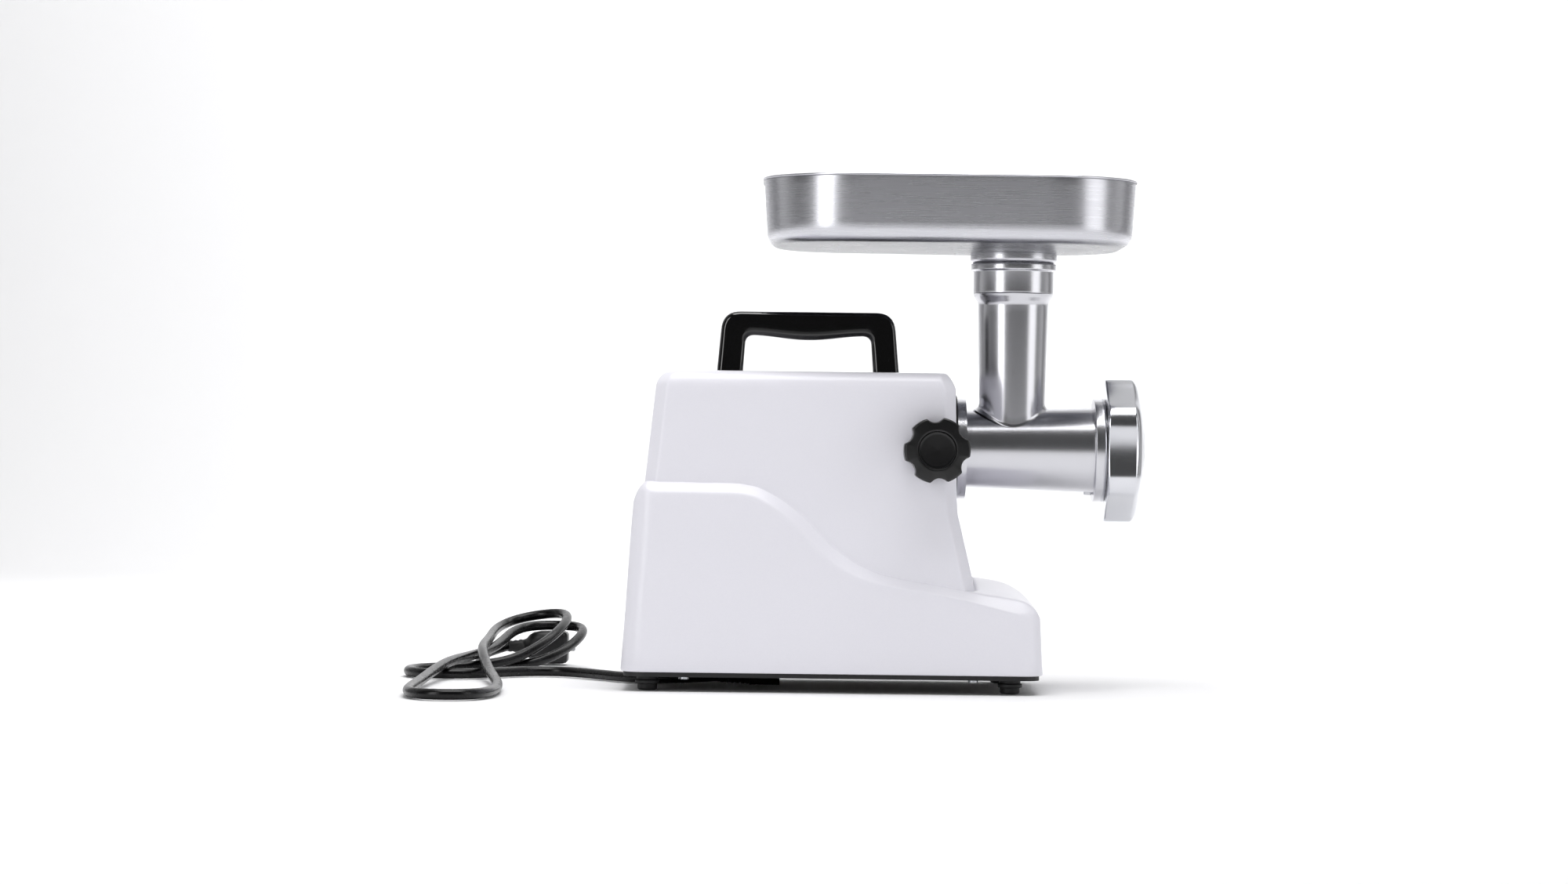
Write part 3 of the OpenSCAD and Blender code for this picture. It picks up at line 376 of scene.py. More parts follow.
def grinder_barrel(cast):
    """The barrel and mouth are one turned profile, the neck another, and a saddle-shaped fillet joins them.
    The throat and the bore are turned too, and the barrel is open where the throat enters it."""
    x0, x1 = BARREL[0][0], BARREL[1][0]
    root = SOCKET[1][0] - 6
    neck_x, neck_r, top = (BARREL[0][0] + 70.0), 24.0, BARREL[1][2]
    mouth = x1 - 21.0
    outer = bend([(26, root), (28, root + 2), (28, SOCKET[1][0] + 4), (31, mouth - 1.0), (31, mouth),
                  (37.5, mouth), (37.5, mouth + 8), (35.9, mouth + 8), (35.9, x1), (33.2, x1), (33.2, x1 - 6),
                  (31, x1 - 6), (31, x1 - 20), (23, x1 - 22), (23, x0 + 2)],
                 [1, 1, 1, 0.5, 0.8, 1.6, 1.2, 0.4, 0.4, 0.4, 0.2, 0.2, 0.4, 0.6])
    long = []
    for a, b in zip(outer, outer[1:]):
        steps = max(1, int(abs(b[1] - a[1]) / 1.5))
        long.extend(a + (b - a) * k / steps for k in range(steps))
    points, faces = turned(np.array(long + [outer[-1]]), (0, 0, AXIS_Z), "x", 192)
    middle = points[faces].mean(axis=1)
    inside = (np.hypot(middle[:, 0] - neck_x, middle[:, 1]) < neck_r - 1.6) & (middle[:, 2] > AXIS_Z)
    body = points, faces[~inside]
    saddle = swept_saddle(neck_r, 4.5, 29.2)
    saddle[..., 0] += neck_x
    saddle[..., 2] += AXIS_Z
    ring = saddle[-1]
    t = np.linspace(0, 2 * np.pi, len(ring), endpoint=False)
    profile = bend([(24, 0), (25.5, top - 28.7), (28.8, top - 23.6), (29.2, top - 21), (29.2, top - 5.6),
                    (30.2, top - 5.2), (31, top - 4.6), (31, top), (20.5, top), (20.5, AXIS_Z + 30)],
                   [2, 2, 1, 0.5, 0.4, 0.4, 1.2, 1.2])[1:]
    rows = [ring]
    for share in np.linspace(0.06, 1, 14):
        r = neck_r + 1.5 * share
        z = ring[:, 2] + (profile[0][1] - ring[:, 2]) * share
        rows.append(np.column_stack([neck_x + r * np.cos(t), r * np.sin(t), z]))
    for r, z in profile[1:-1]:
        rows.append(np.column_stack([neck_x + r * np.cos(t), r * np.sin(t), z + 0 * t]))
    bore = np.sqrt(23.0**2 - (20.5 * np.sin(t)) ** 2) + AXIS_Z
    rows.append(np.column_stack([neck_x + 20.5 * np.cos(t), 20.5 * np.sin(t), bore]))
    make("barrel_casting", [body, surface(saddle), surface(np.array(rows))], "head", cast,
         ["grinder_barrel"])
    bead = bend([(0, -3), (2.4, -3), (2.6, 3), (0, 3.2)], [1, 1.4])
    make("barrel_bead", [turned(bead, (mouth - 3.2, 0, AXIS_Z - 30.2), "x", 32)], "head",
         cast)


def lobed(r, h, count, depth, hollow, start, outer):
    """Radius of a lobed turning at each angle: circles of radius `hollow` cut `depth` into the rim, and a
    power mean with the profile's own radius keeps every edge round."""
    angle = np.linspace(0, 2 * np.pi, 288, endpoint=False)
    step = 2 * np.pi / count
    off = (angle - start + step / 2) % step - step / 2
    centre = outer - depth + hollow
    inside = hollow**2 - (centre * np.sin(off)) ** 2
    cut = np.where(inside > 0, centre * np.cos(off) - np.sqrt(np.maximum(inside, 0)), 2 * outer)
    power = 40.0
    shape = (cut**-power + outer**-power) ** (-1 / power)
    pull = np.clip((r[:, None] / outer - 0.6) / 0.4, 0, 1)
    flat = r[:, None] * (1 - pull) + np.minimum(r[:, None], shape[None, :] * r[:, None] / outer) * pull
    limited = (flat**-power + (shape[None, :]) ** -power) ** (-1 / power)
    return np.where(r[:, None] > outer * 0.6, np.minimum(limited, flat), r[:, None] + 0 * shape), angle, h


def ring_nut(polish):
    """A lobed turning with a cone on its face, a bore for the thread behind and a smaller mouth in front."""
    x0, x1, outer = NUT[0][0], NUT[1][0], (NUT[1][2] - NUT[0][2]) / 2
    line = bend([(36.2, x0), (outer - 1.0, x0), (outer, x0 + 1.0), (outer, x1 - 7.6), (outer - 5, x1 - 3.8),
                 (outer - 22, x1), (29, x1), (29, x1 - 11.5), (36.2, x1 - 11.5), (36.2, x0)],
                [0.5, 0.5, 0.9, 4.0, 3.0, 1.2, 0.4, 0.3], steps=6)
    fine = []
    for a, b in zip(line, line[1:]):
        steps = max(1, int(np.linalg.norm(b - a) / 3))
        fine.extend(a + (b - a) * k / steps for k in range(steps))
    profile = np.array(fine + [line[-1]])
    r, angle, h = lobed(profile[:, 0], profile[:, 1], 6, 6.0, 100.0, 0.0, outer)
    p = np.stack([h[:, None] + 0 * r, r * np.cos(angle), r * np.sin(angle) + AXIS_Z], axis=-1)
    make("nut_casting", [surface(p)], "nut", polish, ["ring_nut"])


def lock_knob(black, cap_black):
    """A lobed turning with a shallow dish for its cap, and the cap, a low disc with a soft edge."""
    outer, near, far = (KNOB[1][2] - KNOB[0][2]) / 2 + 0.2, KNOB[1][1], KNOB[0][1]
    depth = near - far
    line = bend([(3, 0), (outer - 1.5, 0), (outer, 1.5), (outer, depth - 1.9), (outer - 1.5, depth - 0.7),
                 (14.6, depth), (13.6, depth - 0.2), (13.4, depth - 1.4), (0, depth - 1.4)],
                [1, 0.8, 0.8, 0.7, 0.6, 0.4, 0.4], steps=6)
    fine = []
    for a, b in zip(line, line[1:]):
        steps = max(1, int(np.linalg.norm(b - a) / 2))
        fine.extend(a + (b - a) * k / steps for k in range(steps))
    profile = np.array(fine + [line[-1]])
    r, angle, h = lobed(np.maximum(profile[:, 0], 0.01), profile[:, 1], 6, 3.7, 7.5, math.radians(94), outer)
    p = np.stack([KNOB_X + r * np.cos(angle), near - h[:, None] + 0 * r, KNOB_Z + r * np.sin(angle)], axis=-1)
    make("knob_grip", [surface(p)], "knob", black, ["lock_knob"])
    cap = bend([(13.0, depth - 2.0), (13.0, depth - 0.3), (11.8, depth - 0.6), (0.01, depth - 0.8)],
               [0.4, 0.8], steps=5)
    c, angle = cap, np.linspace(0, 2 * np.pi, 96, endpoint=False)
    q = np.stack([KNOB_X + c[:, :1] * np.cos(angle), near - c[:, 1:] + 0 * angle,
                  KNOB_Z + c[:, :1] * np.sin(angle)], axis=-1)
    make("knob_disc", [surface(q)], "knob", cap_black, ["knob_cap"])


def auger(cast):
    """A core with a helical flight: the radius at each angle and length is the core's, raised to the
    flight's where the turn of the helix passes, with a smooth flank."""
    x0, x1, turns = AUGER[0][0], AUGER[1][0], 3.2
    x = np.linspace(x0 + 8, x1, 260)[:, None]
    angle = np.linspace(0, 2 * np.pi, 96, endpoint=False)[None, :]
    share = (x - x0 - 8) / (x1 - x0 - 8)
    phase = np.angle(np.exp(1j * (angle + 2 * np.pi * turns * share)))
    crest = 1 / (1 + np.exp((np.abs(phase) - 0.32) * 12))
    core = 12.5 - 2.0 * share
    r = core + (22.3 - core) * crest * np.clip(share * 30, 0, 1)
    p = np.stack([x + 0 * r, r * np.cos(angle), r * np.sin(angle) + AXIS_Z], axis=-1)
    head = bend([(6.1, x0), (22.9, x0), (22.9, x0 + 8), (12.5, x0 + 8.2)], [0.6, 0.6])
    cap = np.array([[10.5, x1], [5, x1]])
    ends = [turned(line, (0, 0, AXIS_Z), "x", 96) for line in (head, cap)]
    make("auger_casting", [ends[0], surface(p), ends[1]],
         "auger", cast, ["auger_screw"])


# Tray


def meat_tray(pan, sheet):
    """Outlines from the rim's curl down the slightly tapering wall, round the bottom edge and in along a
    shallow funnel to the circle of the spigot."""
    low, high = TRAY
    cx, half_l, half_w = (low[0] + high[0]) / 2, (high[0] - low[0]) / 2, high[1]
    spigot_x, rim, bottom = cx + 48.0, high[2], 320.8
    plan = lambda inset, radius: oval(cx - half_l + inset, cx + half_l - inset, half_w - inset, radius,
                                      side=44, corner=26, end=18)
    rows = []
    curl = 1.0
    for a in np.linspace(-60, 190, 12):
        t = math.radians(a)
        rows.append(at_height(plan(curl - curl * math.cos(t), 68), rim - curl + curl * math.sin(t)))
    deep = 9.0
    for z in np.linspace(rim - 4, bottom + deep, 10):
        rows.append(at_height(plan(1.9 + (rim - z) * 0.065, 67 - (rim - z) * 0.1), z))
    for a in np.linspace(0, 86, 9)[1:]:
        t = math.radians(a)
        rows.append(at_height(plan(4.6 + deep * (1 - math.cos(t)), 63 - deep * (1 - math.cos(t))),
                              bottom + deep - deep * math.sin(t)))
    edge = rows[-1][:, :2]
    centre = np.array([spigot_x, 0.0])
    away = edge - centre
    circle = centre + away / np.linalg.norm(away, axis=1)[:, None] * 18.6
    for t in [0.03, 0.1, 0.25, 0.45, 0.65, 0.85, 0.95, 1.0]:
        rows.append(at_height(edge + (circle - edge) * t, bottom - 4.2 * t))
    rows.append(at_height(circle, bottom - 7))
    # The pan's material carries painted shade on its downward faces.
    make("tray_pan", [surface(np.array(rows))], "tray", pan, ["meat_tray"], wall=1.1)
    foot = 309.4
    bead = bend([(19.6, low[2]), (20.1, low[2] + 1), (20.1, foot), (29.5, foot), (31.5, foot + 1.8),
                 (31.5, foot + 7.4), (30.2, foot + 8.8), (24, foot + 10.2), (18.6, foot + 11), (18.6, low[2]),
                 (19.6, low[2])], [0.4, 0.6, 0.5, 0.9, 0.9, 0.8, 0.8, 0.6, 0.3])
    make("tray_spigot", [turned(bead, (spigot_x, 0, 0), "z", 144)], "tray", sheet)


# Feet, far-side louvre and lead relief


def feet(rubber):
    """Each foot is a turned stub with a stepped collar and a recess for its screw."""
    low, high = box_mm("rubber_feet")
    r = 8.75
    profile = bend([(4.7, 4.0), (4.7, 0.0), (6.2, 0.0), (7.0, 0.8), (7.0, 4.2), (8.75, 4.6), (8.75, 7.0),
                    (7.6, 7.4), (7.6, high[2])], [0.3, 0.4, 0.5, 0.2, 0.4, 0.5, 0.2], steps=5)
    parts = [turned(profile, (x, y, 0), "z", 64)
             for x in (low[0] + r, high[0] - r) for y in (low[1] + r, high[1] - r)]
    make("feet_moulded", parts, "housing", rubber, ["rubber_feet"])


def far_side_panel(black):
    """A louvre of slats over the air slots, raised a little from the far wall."""
    y = LOWER[1][1]
    x0, x1 = -118.0, 0.0
    slats = []
    for k in range(7):
        z = 40.0 + k * 8
        p = oval(x0 + 4, x1 - 4, 1.75, 1.7, side=30, corner=5, end=2)
        rows = [np.column_stack([q[:, 0], 0 * q[:, 0] + y + d, q[:, 1] + z + 1.75])
                for q, d in [(p * 1, -0.3), (p * 1, 1.6), (p * [1, 0.6], 2.1), (p * [1, 0.01], 2.2)]]
        slats.append(surface(np.array(rows)))
    make("far_louvre", slats, "housing", black)


def strain_relief(pvc):
    """A tapered sleeve with grooves round it, and the block that holds it in the base."""
    low, high = GLAND
    z = 6.2
    steps = np.linspace(0, 1, 60)
    x = low[0] + steps * 22.8
    groove = 0.45 * (np.sin(steps * 2 * np.pi * 6) > 0.2)
    r = 4.3 + steps * 1.2 - groove
    p = np.column_stack([np.r_[3.8, r, 0.01], np.r_[low[0], x, x[-1]]])
    block = oval(low[0] + 22.8, high[0], 6, 1.2, side=6, corner=4, end=4)
    rows = [at_height(block, low[2]), at_height(block, high[2])]
    middle = block * 0 + [(low[0] + 22.8 + high[0]) / 2, 0]
    rows = [at_height(middle, low[2])] + rows + [at_height(middle, high[2])]
    make("lead_relief", [turned(p, (0, 0, z), "x", 40), surface(np.array(rows))], "housing", pvc,
         ["cord_gland"])


# Lead

ROUTE = [
    [-80, 0, 6.2], [-112, -4, 4.2], [-144, 4, 3.9], [-168, 42, 3.9], [-194, 76, 3.9], [-228, 72, 3.9],
    [-254, 38, 3.9], [-284, 20, 3.9], [-314, 44, 3.9], [-311, 96, 3.9], [-276, 116, 3.9], [-236, 120, 8],
    [-208, 158, 26], [-198, 214, 40], [-212, 242, 41], [-243, 244, 36], [-259, 216, 29], [-258, 160, 24],
    [-259, 100, 22], [-256, 50, 19], [-246, 0, 6], [-232, -90, 3.9], [-230, -182, 3.9], [-246, -212, 3.9],
    [-276, -212, 3.9], [-292, -182, 3.9], [-290, -80, 3.9], [-282, 30, 13], [-268, 96, 13], [-252, 160, 17],
    [-246, 204, 27], [-232, 235, 31], [-201, 237, 31], [-184, 208, 30], [-200, 158, 14], [-228, 128, 3.9],
    [-264, 148, 3.9], [-272, 204, 8], [-250, 236, 14],
]
CORD_D = 7.5


def route_line(steps=12):
    """A uniform cubic B-spline along the route's points, carried on past both ends."""
    p = np.array(ROUTE, float)
    q = np.vstack([2 * p[0] - p[1], p, 2 * p[-1] - p[-2]])
    t = (np.arange(steps) / steps)[:, None]
    weights = ((1 - t) ** 3, 3 * t**3 - 6 * t**2 + 4, -3 * t**3 + 3 * t**2 + 3 * t + 1, t**3)
    spans = [sum(w * q[i + k] for k, w in enumerate(weights)) / 6 for i in range(len(p) - 1)]
    return np.vstack(spans + [p[-1:]])


def tube(line, radius, sides=20):
    """A round tube along a line: each ring stands square to the line, turned with the level direction."""
    along = np.gradient(line, axis=0)
    along /= np.linalg.norm(along, axis=1)[:, None]
    level = np.cross(along, [0, 0, 1])
    level /= np.linalg.norm(level, axis=1)[:, None]
    up = np.cross(level, along)
    t = np.linspace(0, 2 * np.pi, sides, endpoint=False)
    ring = level[:, None] * np.cos(t)[None, :, None] + up[:, None] * np.sin(t)[None, :, None]
    return surface(line[:, None] + radius * ring)


def lead(pvc, plug_pvc):
    """The cord is a tube along its route; the plug is a loft of rounded rectangles from the cord's size up
    to its body and on to its face, and its relief has rings."""
    line = route_line()
    cord = make("mains_cord", [tube(line, CORD_D / 2)], "housing", pvc, ["power_cord"])
    plug = plug_moulding(plug_pvc, line[-1])


def plug_moulding(pvc, at):
    """Sections along the plug, each a rounded rectangle: (distance, half width, half height, corner)."""
    floor = PLUG[0][2]
    sections = [(-1, 4.0, 4.0, 3.9), (2, 4.6, 4.6, 4.5), (4, 4.2, 4.2, 4.1), (6, 5.0, 5.0, 4.9),
                (8, 4.6, 4.6, 4.5), (10, 5.6, 5.6, 5.4), (12, 5.2, 5.2, 5.0), (15, 6.6, 6.4, 6.0),
                (17, 10, 9, 6), (20, 12.6, 11.4, 6), (26, 13.6, 12.6, 5), (36, 13.9, 12.9, 5),
                (44, 13.6, 12.6, 5), (46.5, 12.9, 11.8, 4.6), (47.8, 11.6, 10.4, 4)]
    rows = []
    for d, half_w, half_h, corner in sections:
        ring = oval(-half_w, half_w, half_h, corner, side=8, corner=8, end=8)
        lift = np.interp(d, [0, 16, 20], [at[2], at[2], floor + 13.0])
        rows.append(np.column_stack([0 * ring[:, 0] + at[0] + d, at[1] + ring[:, 0], lift + ring[:, 1]]))
    last, first = rows[-1], rows[0]
    rows.append(last * 0 + last.mean(axis=0))
    rows.insert(0, first * 0 + first.mean(axis=0))
    return make("plug_moulding", [surface(np.array(rows))], "housing", pvc, ["plug_body"])


# Materials


def linear(code):
    """A colour from its sRGB hex code, turned to linear."""
    c = [int(code[k : k + 2], 16) / 255 for k in (1, 3, 5)]
    return [x / 12.92 if x <= 0.04045 else ((x + 0.055) / 1.055) ** 2.4 for x in c] + [1.0]


def add(tree, kind, settings=None, **inputs):
    """One node with its settings, its values and its links; a value that is a socket is linked."""
    node = tree.nodes.new(kind)
    for key, value in (settings or {}).items():
        setattr(node, key, value)
    for key, value in inputs.items():
        socket = node.inputs[int(key[1:])] if key[0] == "i" and key[1:].isdigit() else node.inputs[
            key.replace("_", " ")]
        if isinstance(value, bpy.types.NodeSocket):
            tree.links.new(value, socket)
        else:
            socket.default_value = value
    return node


def surface_material(name, colour, rough, metal=0.0, coat=0.0, ior=None, extra=None):
    """A Principled surface with its constants on the sockets."""
    material = bpy.data.materials.new(name)
    material.use_nodes = True
    tree = material.node_tree
    shader = tree.nodes["Principled BSDF"]
    shader.inputs["Base Color"].default_value = linear(colour)
    shader.inputs["Roughness"].default_value = rough
    shader.inputs["Metallic"].default_value = metal
    shader.inputs["Coat Weight"].default_value = coat
    if ior:
        shader.inputs["IOR"].default_value = ior
    if extra:
        extra(tree, shader)
    return material


def object_point(tree, stretch=(1, 1, 1)):
    """Object coordinates, stretched along the axes."""
    place = add(tree, "ShaderNodeTexCoord")
    return add(tree, "ShaderNodeMapping", {}, Vector=place.outputs["Object"], Scale=stretch).outputs["Vector"]


def mottled(tree, shader, point, scale, colours, rough, bump, depth, detail=4.0):
    """Noise that shifts the colour between two tones, the roughness between two values, and the relief."""
    noise = add(tree, "ShaderNodeTexNoise", {}, Vector=point, Scale=scale, Detail=detail)
    tone = add(tree, "ShaderNodeMix", {"data_type": "RGBA"}, i0=noise.outputs["Fac"])
    tone.inputs[6].default_value, tone.inputs[7].default_value = linear(colours[0]), linear(colours[1])
    tree.links.new(tone.outputs[2], shader.inputs["Base Color"])
    gloss = add(tree, "ShaderNodeMapRange", {}, Value=noise.outputs["Fac"], i3=rough[0], i4=rough[1])
    tree.links.new(gloss.outputs["Result"], shader.inputs["Roughness"])
    relief = add(tree, "ShaderNodeBump", {}, Height=noise.outputs["Fac"], Strength=bump, Distance=depth)
    tree.links.new(relief.outputs["Normal"], shader.inputs["Normal"])


def moulded(name, colours, rough, bump, grain_mm, coat=0.0, ior=1.5):
    """Moulded plastic: an even tone with a fine grain, one grain every `grain_mm`, and soft gloss."""
    def nodes(tree, shader):
        mottled(tree, shader, object_point(tree), 1000.0 / grain_mm, colours, rough, bump, 0.0002)
    return surface_material(name, colours[0], rough[0], coat=coat, ior=ior, extra=nodes)


def drawn_metal(name, colours, rough, stretch, line_mm, bump):
    """Metal with fine lines along one direction: noise stretched along the lines, `line_mm` apart."""
    def nodes(tree, shader):
        point = object_point(tree, stretch)
        mottled(tree, shader, point, 1000.0 / line_mm, colours, rough, bump, 0.0001, 2.0)
    return surface_material(name, colours[0], rough[0], metal=1.0, extra=nodes)


def painted_shade_below(material, colour):
    """Painted shade: a darker tint multiplied over the base colour wherever the surface faces down, by the
    height of its own normal.
    """
    tree, shader = material.node_tree, material.node_tree.nodes["Principled BSDF"]
    facing = add(tree, "ShaderNodeSeparateXYZ", {}, Vector=add(tree, "ShaderNodeTexCoord").outputs["Normal"])
    share = add(tree, "ShaderNodeMapRange", {}, Value=facing.outputs["Z"], i1=-0.6, i2=-0.97, i3=0.0, i4=1.0)
    tone = add(tree, "ShaderNodeMix", {"data_type": "RGBA", "blend_type": "MULTIPLY"},
               i0=share.outputs["Result"])
    tree.links.new(shader.inputs["Base Color"].links[0].from_socket, tone.inputs[6])
    tone.inputs[7].default_value = linear(colour)
    tree.links.new(tone.outputs[2], shader.inputs["Base Color"])


def materials():
    """Every finish of the machine, each from what the real one is, with painted shade under the tray."""
    m = {}
    # ABS, moulded and polished: a cool white with a soft, even sheen.
    m["white"] = moulded("abs_white", ("#EEEDF4", "#EAE9F1"), (0.30, 0.38), 0.03, 1.2, coat=0.15)
    # ABS, moulded in a mirror-finished tool: deep black with sharp reflections.
    m["gloss"] = moulded("abs_piano_black", ("#030304", "#060607"), (0.06, 0.10), 0.01, 3.0, coat=0.5)
    # Nylon with glass fibre, spark-eroded tool: satin black with a fine grain.
    m["satin"] = moulded("nylon_satin_black", ("#0A0A0B", "#101011"), (0.28, 0.36), 0.06, 0.7)
    m["cap"] = moulded("nylon_cap_black", ("#080809", "#0C0C0D"), (0.20, 0.28), 0.04, 0.7)
    # Polypropylene: dull black.
    m["base"] = moulded("polypropylene_black", ("#101012", "#161618"), (0.45, 0.58), 0.12, 0.9)
    # Natural rubber, moulded: matt black with a faint bloom.
    m["rubber"] = moulded("rubber_black", ("#0F0F10", "#18181A"), (0.45, 0.65), 0.15, 1.5)
    # Aluminium, cast and belt-ground: pale, satin, with very fine lines round it.
    m["cast"] = drawn_metal("aluminium_ground", ("#D6D6DA", "#CBCBD0"), (0.22, 0.27), (0.3, 1, 1), 0.35, 0.02)
    # Aluminium, cast and buffed: bright, with a slight ripple.
    m["polish"] = drawn_metal("aluminium_buffed", ("#DEDFE3", "#D6D7DC"), (0.15, 0.20), (1, 1, 1), 14.0, 0.02)
    # Aluminium sheet, pressed and brushed round its wall: level lines.
    brushed = ("#D8D8DD", "#C6C6CC"), (0.24, 0.32), (0.02, 0.02, 1), 0.8, 0.05
    m["sheet"] = drawn_metal("aluminium_brushed", *brushed)
    # The tray, from the same sheet, with painted shade: a darker tint where it faces down.
    m["tray"] = drawn_metal("aluminium_tray_painted_shade", *brushed)
    # Painted shade: the tray's downward faces are multiplied by a grey tint.
    painted_shade_below(m["tray"], "#78797D")
    # Steel, ground: darker and even.
    m["ground"] = drawn_metal("steel_ground", ("#A9ABB0", "#999BA1"), (0.18, 0.26), (1, 1, 0.1), 0.8, 0.05)
    m["zinc"] = drawn_metal("steel_zinc_plated", ("#C4C6C8", "#B6B9BE"), (0.2, 0.28), (1, 1, 1), 1.5, 0.03)
    m["gear"] = drawn_metal("steel_hobbed", ("#86878B", "#77787C"), (0.25, 0.36), (1, 0.2, 0.2), 1.0, 0.06)
    m["bronze"] = drawn_metal("bronze_sintered", ("#B98A4A", "#A67A40"), (0.35, 0.5), (1, 1, 1), 0.8, 0.12)
    m["copper"] = drawn_metal("copper_enamelled", ("#B5602F", "#9A4C25"), (0.2, 0.35), (1, 0.1, 0.1), 0.8,
                              0.2)
    m["iron"] = drawn_metal("steel_laminated", ("#5A5B60", "#46474B"), (0.35, 0.5), (1, 0.02, 0.02), 0.7, 0.3)
    # PVC sheath, extruded: glossy black with long faint waves.
    m["pvc"] = moulded("pvc_sheath", ("#030304", "#060607"), (0.24, 0.30), 0.03, 6.0, ior=1.38)
    m["pvc_matt"] = moulded("pvc_moulded", ("#0B0B0C", "#101012"), (0.32, 0.44), 0.08, 1.0)
    m["red"] = moulded("abs_red", ("#B3261E", "#A8221B"), (0.25, 0.33), 0.04, 1.0)
    m["ivory"] = moulded("nylon_natural", ("#DAD3BD", "#CFC7AE"), (0.4, 0.5), 0.1, 1.0)
    m["carbon"] = moulded("carbon_pressed", ("#202022", "#2B2B2E"), (0.5, 0.65), 0.2, 0.8)
    return m


NODE_FINISH = {
    "base": ["base_plate", "motor_fan"],
    "zinc": ["foot_screws", "casing_screws", "handle_screws", "gearbox_screws", "lock_stud", "lock_washer",
             "motor_bolts", "plug_blades"],
    "cast": ["gearbox_case", "gearbox_cover", "motor_brackets"],
    "rubber": ["output_seal"],
    "gear": ["output_bearings", "output_shaft", "output_gear", "second_shaft", "second_gear", "first_shaft",
             "first_gear", "motor_shaft", "motor_bearings"],
    "bronze": ["countershaft_bushes", "brush_holders", "knob_bush"],
    "iron": ["rotor_core", "stator_core"],
    "copper": ["rotor_windings", "commutator", "stator_coils"],
    "carbon": ["carbon_brushes"],
    "ground": ["plate_pin", "auger_front_pin", "auger_tail", "knife", "cutting_plate"],
    "ivory": ["auger_washer"],
    "gloss": ["switch_body", "switch_rocker", "reverse_button"],
    "red": ["reset_button"],
}


def finish_nodes(m):
    """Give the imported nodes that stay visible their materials."""
    for finish, nodes in NODE_FINISH.items():
        for name in nodes:
            for slot in NODES[name].material_slots:
                slot.material = m[finish]


# Stage


def stage():
    """A pale floor that curves up behind over a radius of one metre, four soft lights, the surround and the
    camera. The floor lies a little under the feet."""
    scene = bpy.context.scene
    near, depth, rise, width, under = -4.0, 3.2, 3.5, 6.0, 0.0005
    bow = np.linspace(0, np.pi / 2, 24)
    back = np.concatenate([[[near, -under]], [[depth - 1, -under]],
                           np.stack([depth - 1 + np.sin(bow), 1 - np.cos(bow) - under], axis=1),
                           [[depth, rise]]])
    x = np.linspace(-width, width, 9)
    p = np.stack(np.broadcast_arrays(x[None, :], back[:, :1], back[:, 1:]), axis=-1)
    points, faces = surface(p, around=False)
    mesh = bpy.data.meshes.new("floor_sweep")
    mesh.from_pydata(points.tolist(), [], faces.tolist())
    mesh.shade_smooth()
    floor = bpy.data.objects.new("floor_sweep", mesh)
    scene.collection.objects.link(floor)
    paper = surface_material("paper_white", "#F7F7F8", 0.9, extra=clear_behind)
    mesh.materials.append(paper)
    softbox("key", -40, 2.5, 0.85, 27)
    softbox("fill", 66, 2.5, 1.25, 17)
    lamp("top", (0.1, -0.4, 2.4), (0, 0, 0.1), 2.0, 1.6, 70)
    lamp("back", (0.6, 1.4, 1.9), (0, 3.2, 0.6), 2.5, 2.5, 74)
    surround(scene)
    scene.view_settings.view_transform = "Standard"
    scene.view_settings.exposure = -0.5
    camera()


def clear_behind(tree, shader):
    """Paper that only shows its front, so that the machine is seen from behind the sweep too."""
    back = add(tree, "ShaderNodeNewGeometry").outputs["Backfacing"]
    clear = add(tree, "ShaderNodeBsdfTransparent")
    mix = add(tree, "ShaderNodeMixShader", {}, i0=back, i1=shader.outputs["BSDF"], i2=clear.outputs["BSDF"])
    tree.links.new(mix.outputs["Shader"], tree.nodes["Material Output"].inputs["Surface"])


def surround(scene):
    """A world that is bright behind the machine and dim behind the camera, so that metal keeps its dark
    bands: its strength follows the level direction of a ray, and is one where the camera sees it."""
    world = bpy.data.worlds.new("studio")
    scene.world = world
    world.use_nodes = True
    tree = world.node_tree
    place = add(tree, "ShaderNodeTexCoord")
    axes = add(tree, "ShaderNodeSeparateXYZ", {}, Vector=place.outputs["Generated"])
    power = add(tree, "ShaderNodeMapRange", {"interpolation_type": "SMOOTHSTEP"}, Value=axes.outputs["Y"],
                i1=-0.25, i2=0.5, i3=0.10, i4=0.95)
    seen = add(tree, "ShaderNodeLightPath").outputs["Is Camera Ray"]
    strength = add(tree, "ShaderNodeMath", {"operation": "MAXIMUM"}, i0=power.outputs["Result"], i1=seen)
    tree.links.new(strength.outputs["Value"], tree.nodes["Background"].inputs["Strength"])
    tree.nodes["Background"].inputs["Color"].default_value = (1, 1, 1, 1)


def lamp(name, place, target, width, height, power):
    """A rectangular area light at a place, turned to its target."""
    from mathutils import Vector

    data = bpy.data.lights.new(name, "AREA")
    data.shape, data.size, data.size_y, data.energy = "RECTANGLE", width, height, power
    light = bpy.data.objects.new(name, data)
    light.location = place
    light.rotation_euler = (Vector(target) - Vector(place)).to_track_quat("-Z", "Y").to_euler()
    bpy.context.scene.collection.objects.link(light)


def softbox(name, bearing, distance, width, power):
    """An upright softbox standing on the floor, its bearing in degrees right of the camera."""
    a = math.radians(bearing)
    lamp(name, (distance * math.sin(a), -distance * math.cos(a), 1.0), (0, 0, 0.6), width, 2.0, power)


def camera():
    """A long lens, level with the gearbox, square to the machine's near side."""
    settings = bpy.context.scene.grinder_stage
    data = bpy.data.cameras.new("camera")
    data.sensor_width, data.lens = 36.0, settings.lens
    data.clip_end = 20
    eye = bpy.data.objects.new("camera", data)
    eye.location = (settings.camera_x, -settings.distance, settings.height)
    eye.rotation_mode = "XYZ"
    eye.rotation_euler = (math.radians(90 + settings.tilt), math.radians(settings.roll), 0)
    bpy.context.scene.collection.objects.link(eye)
    bpy.context.scene.camera = eye


# Add-on


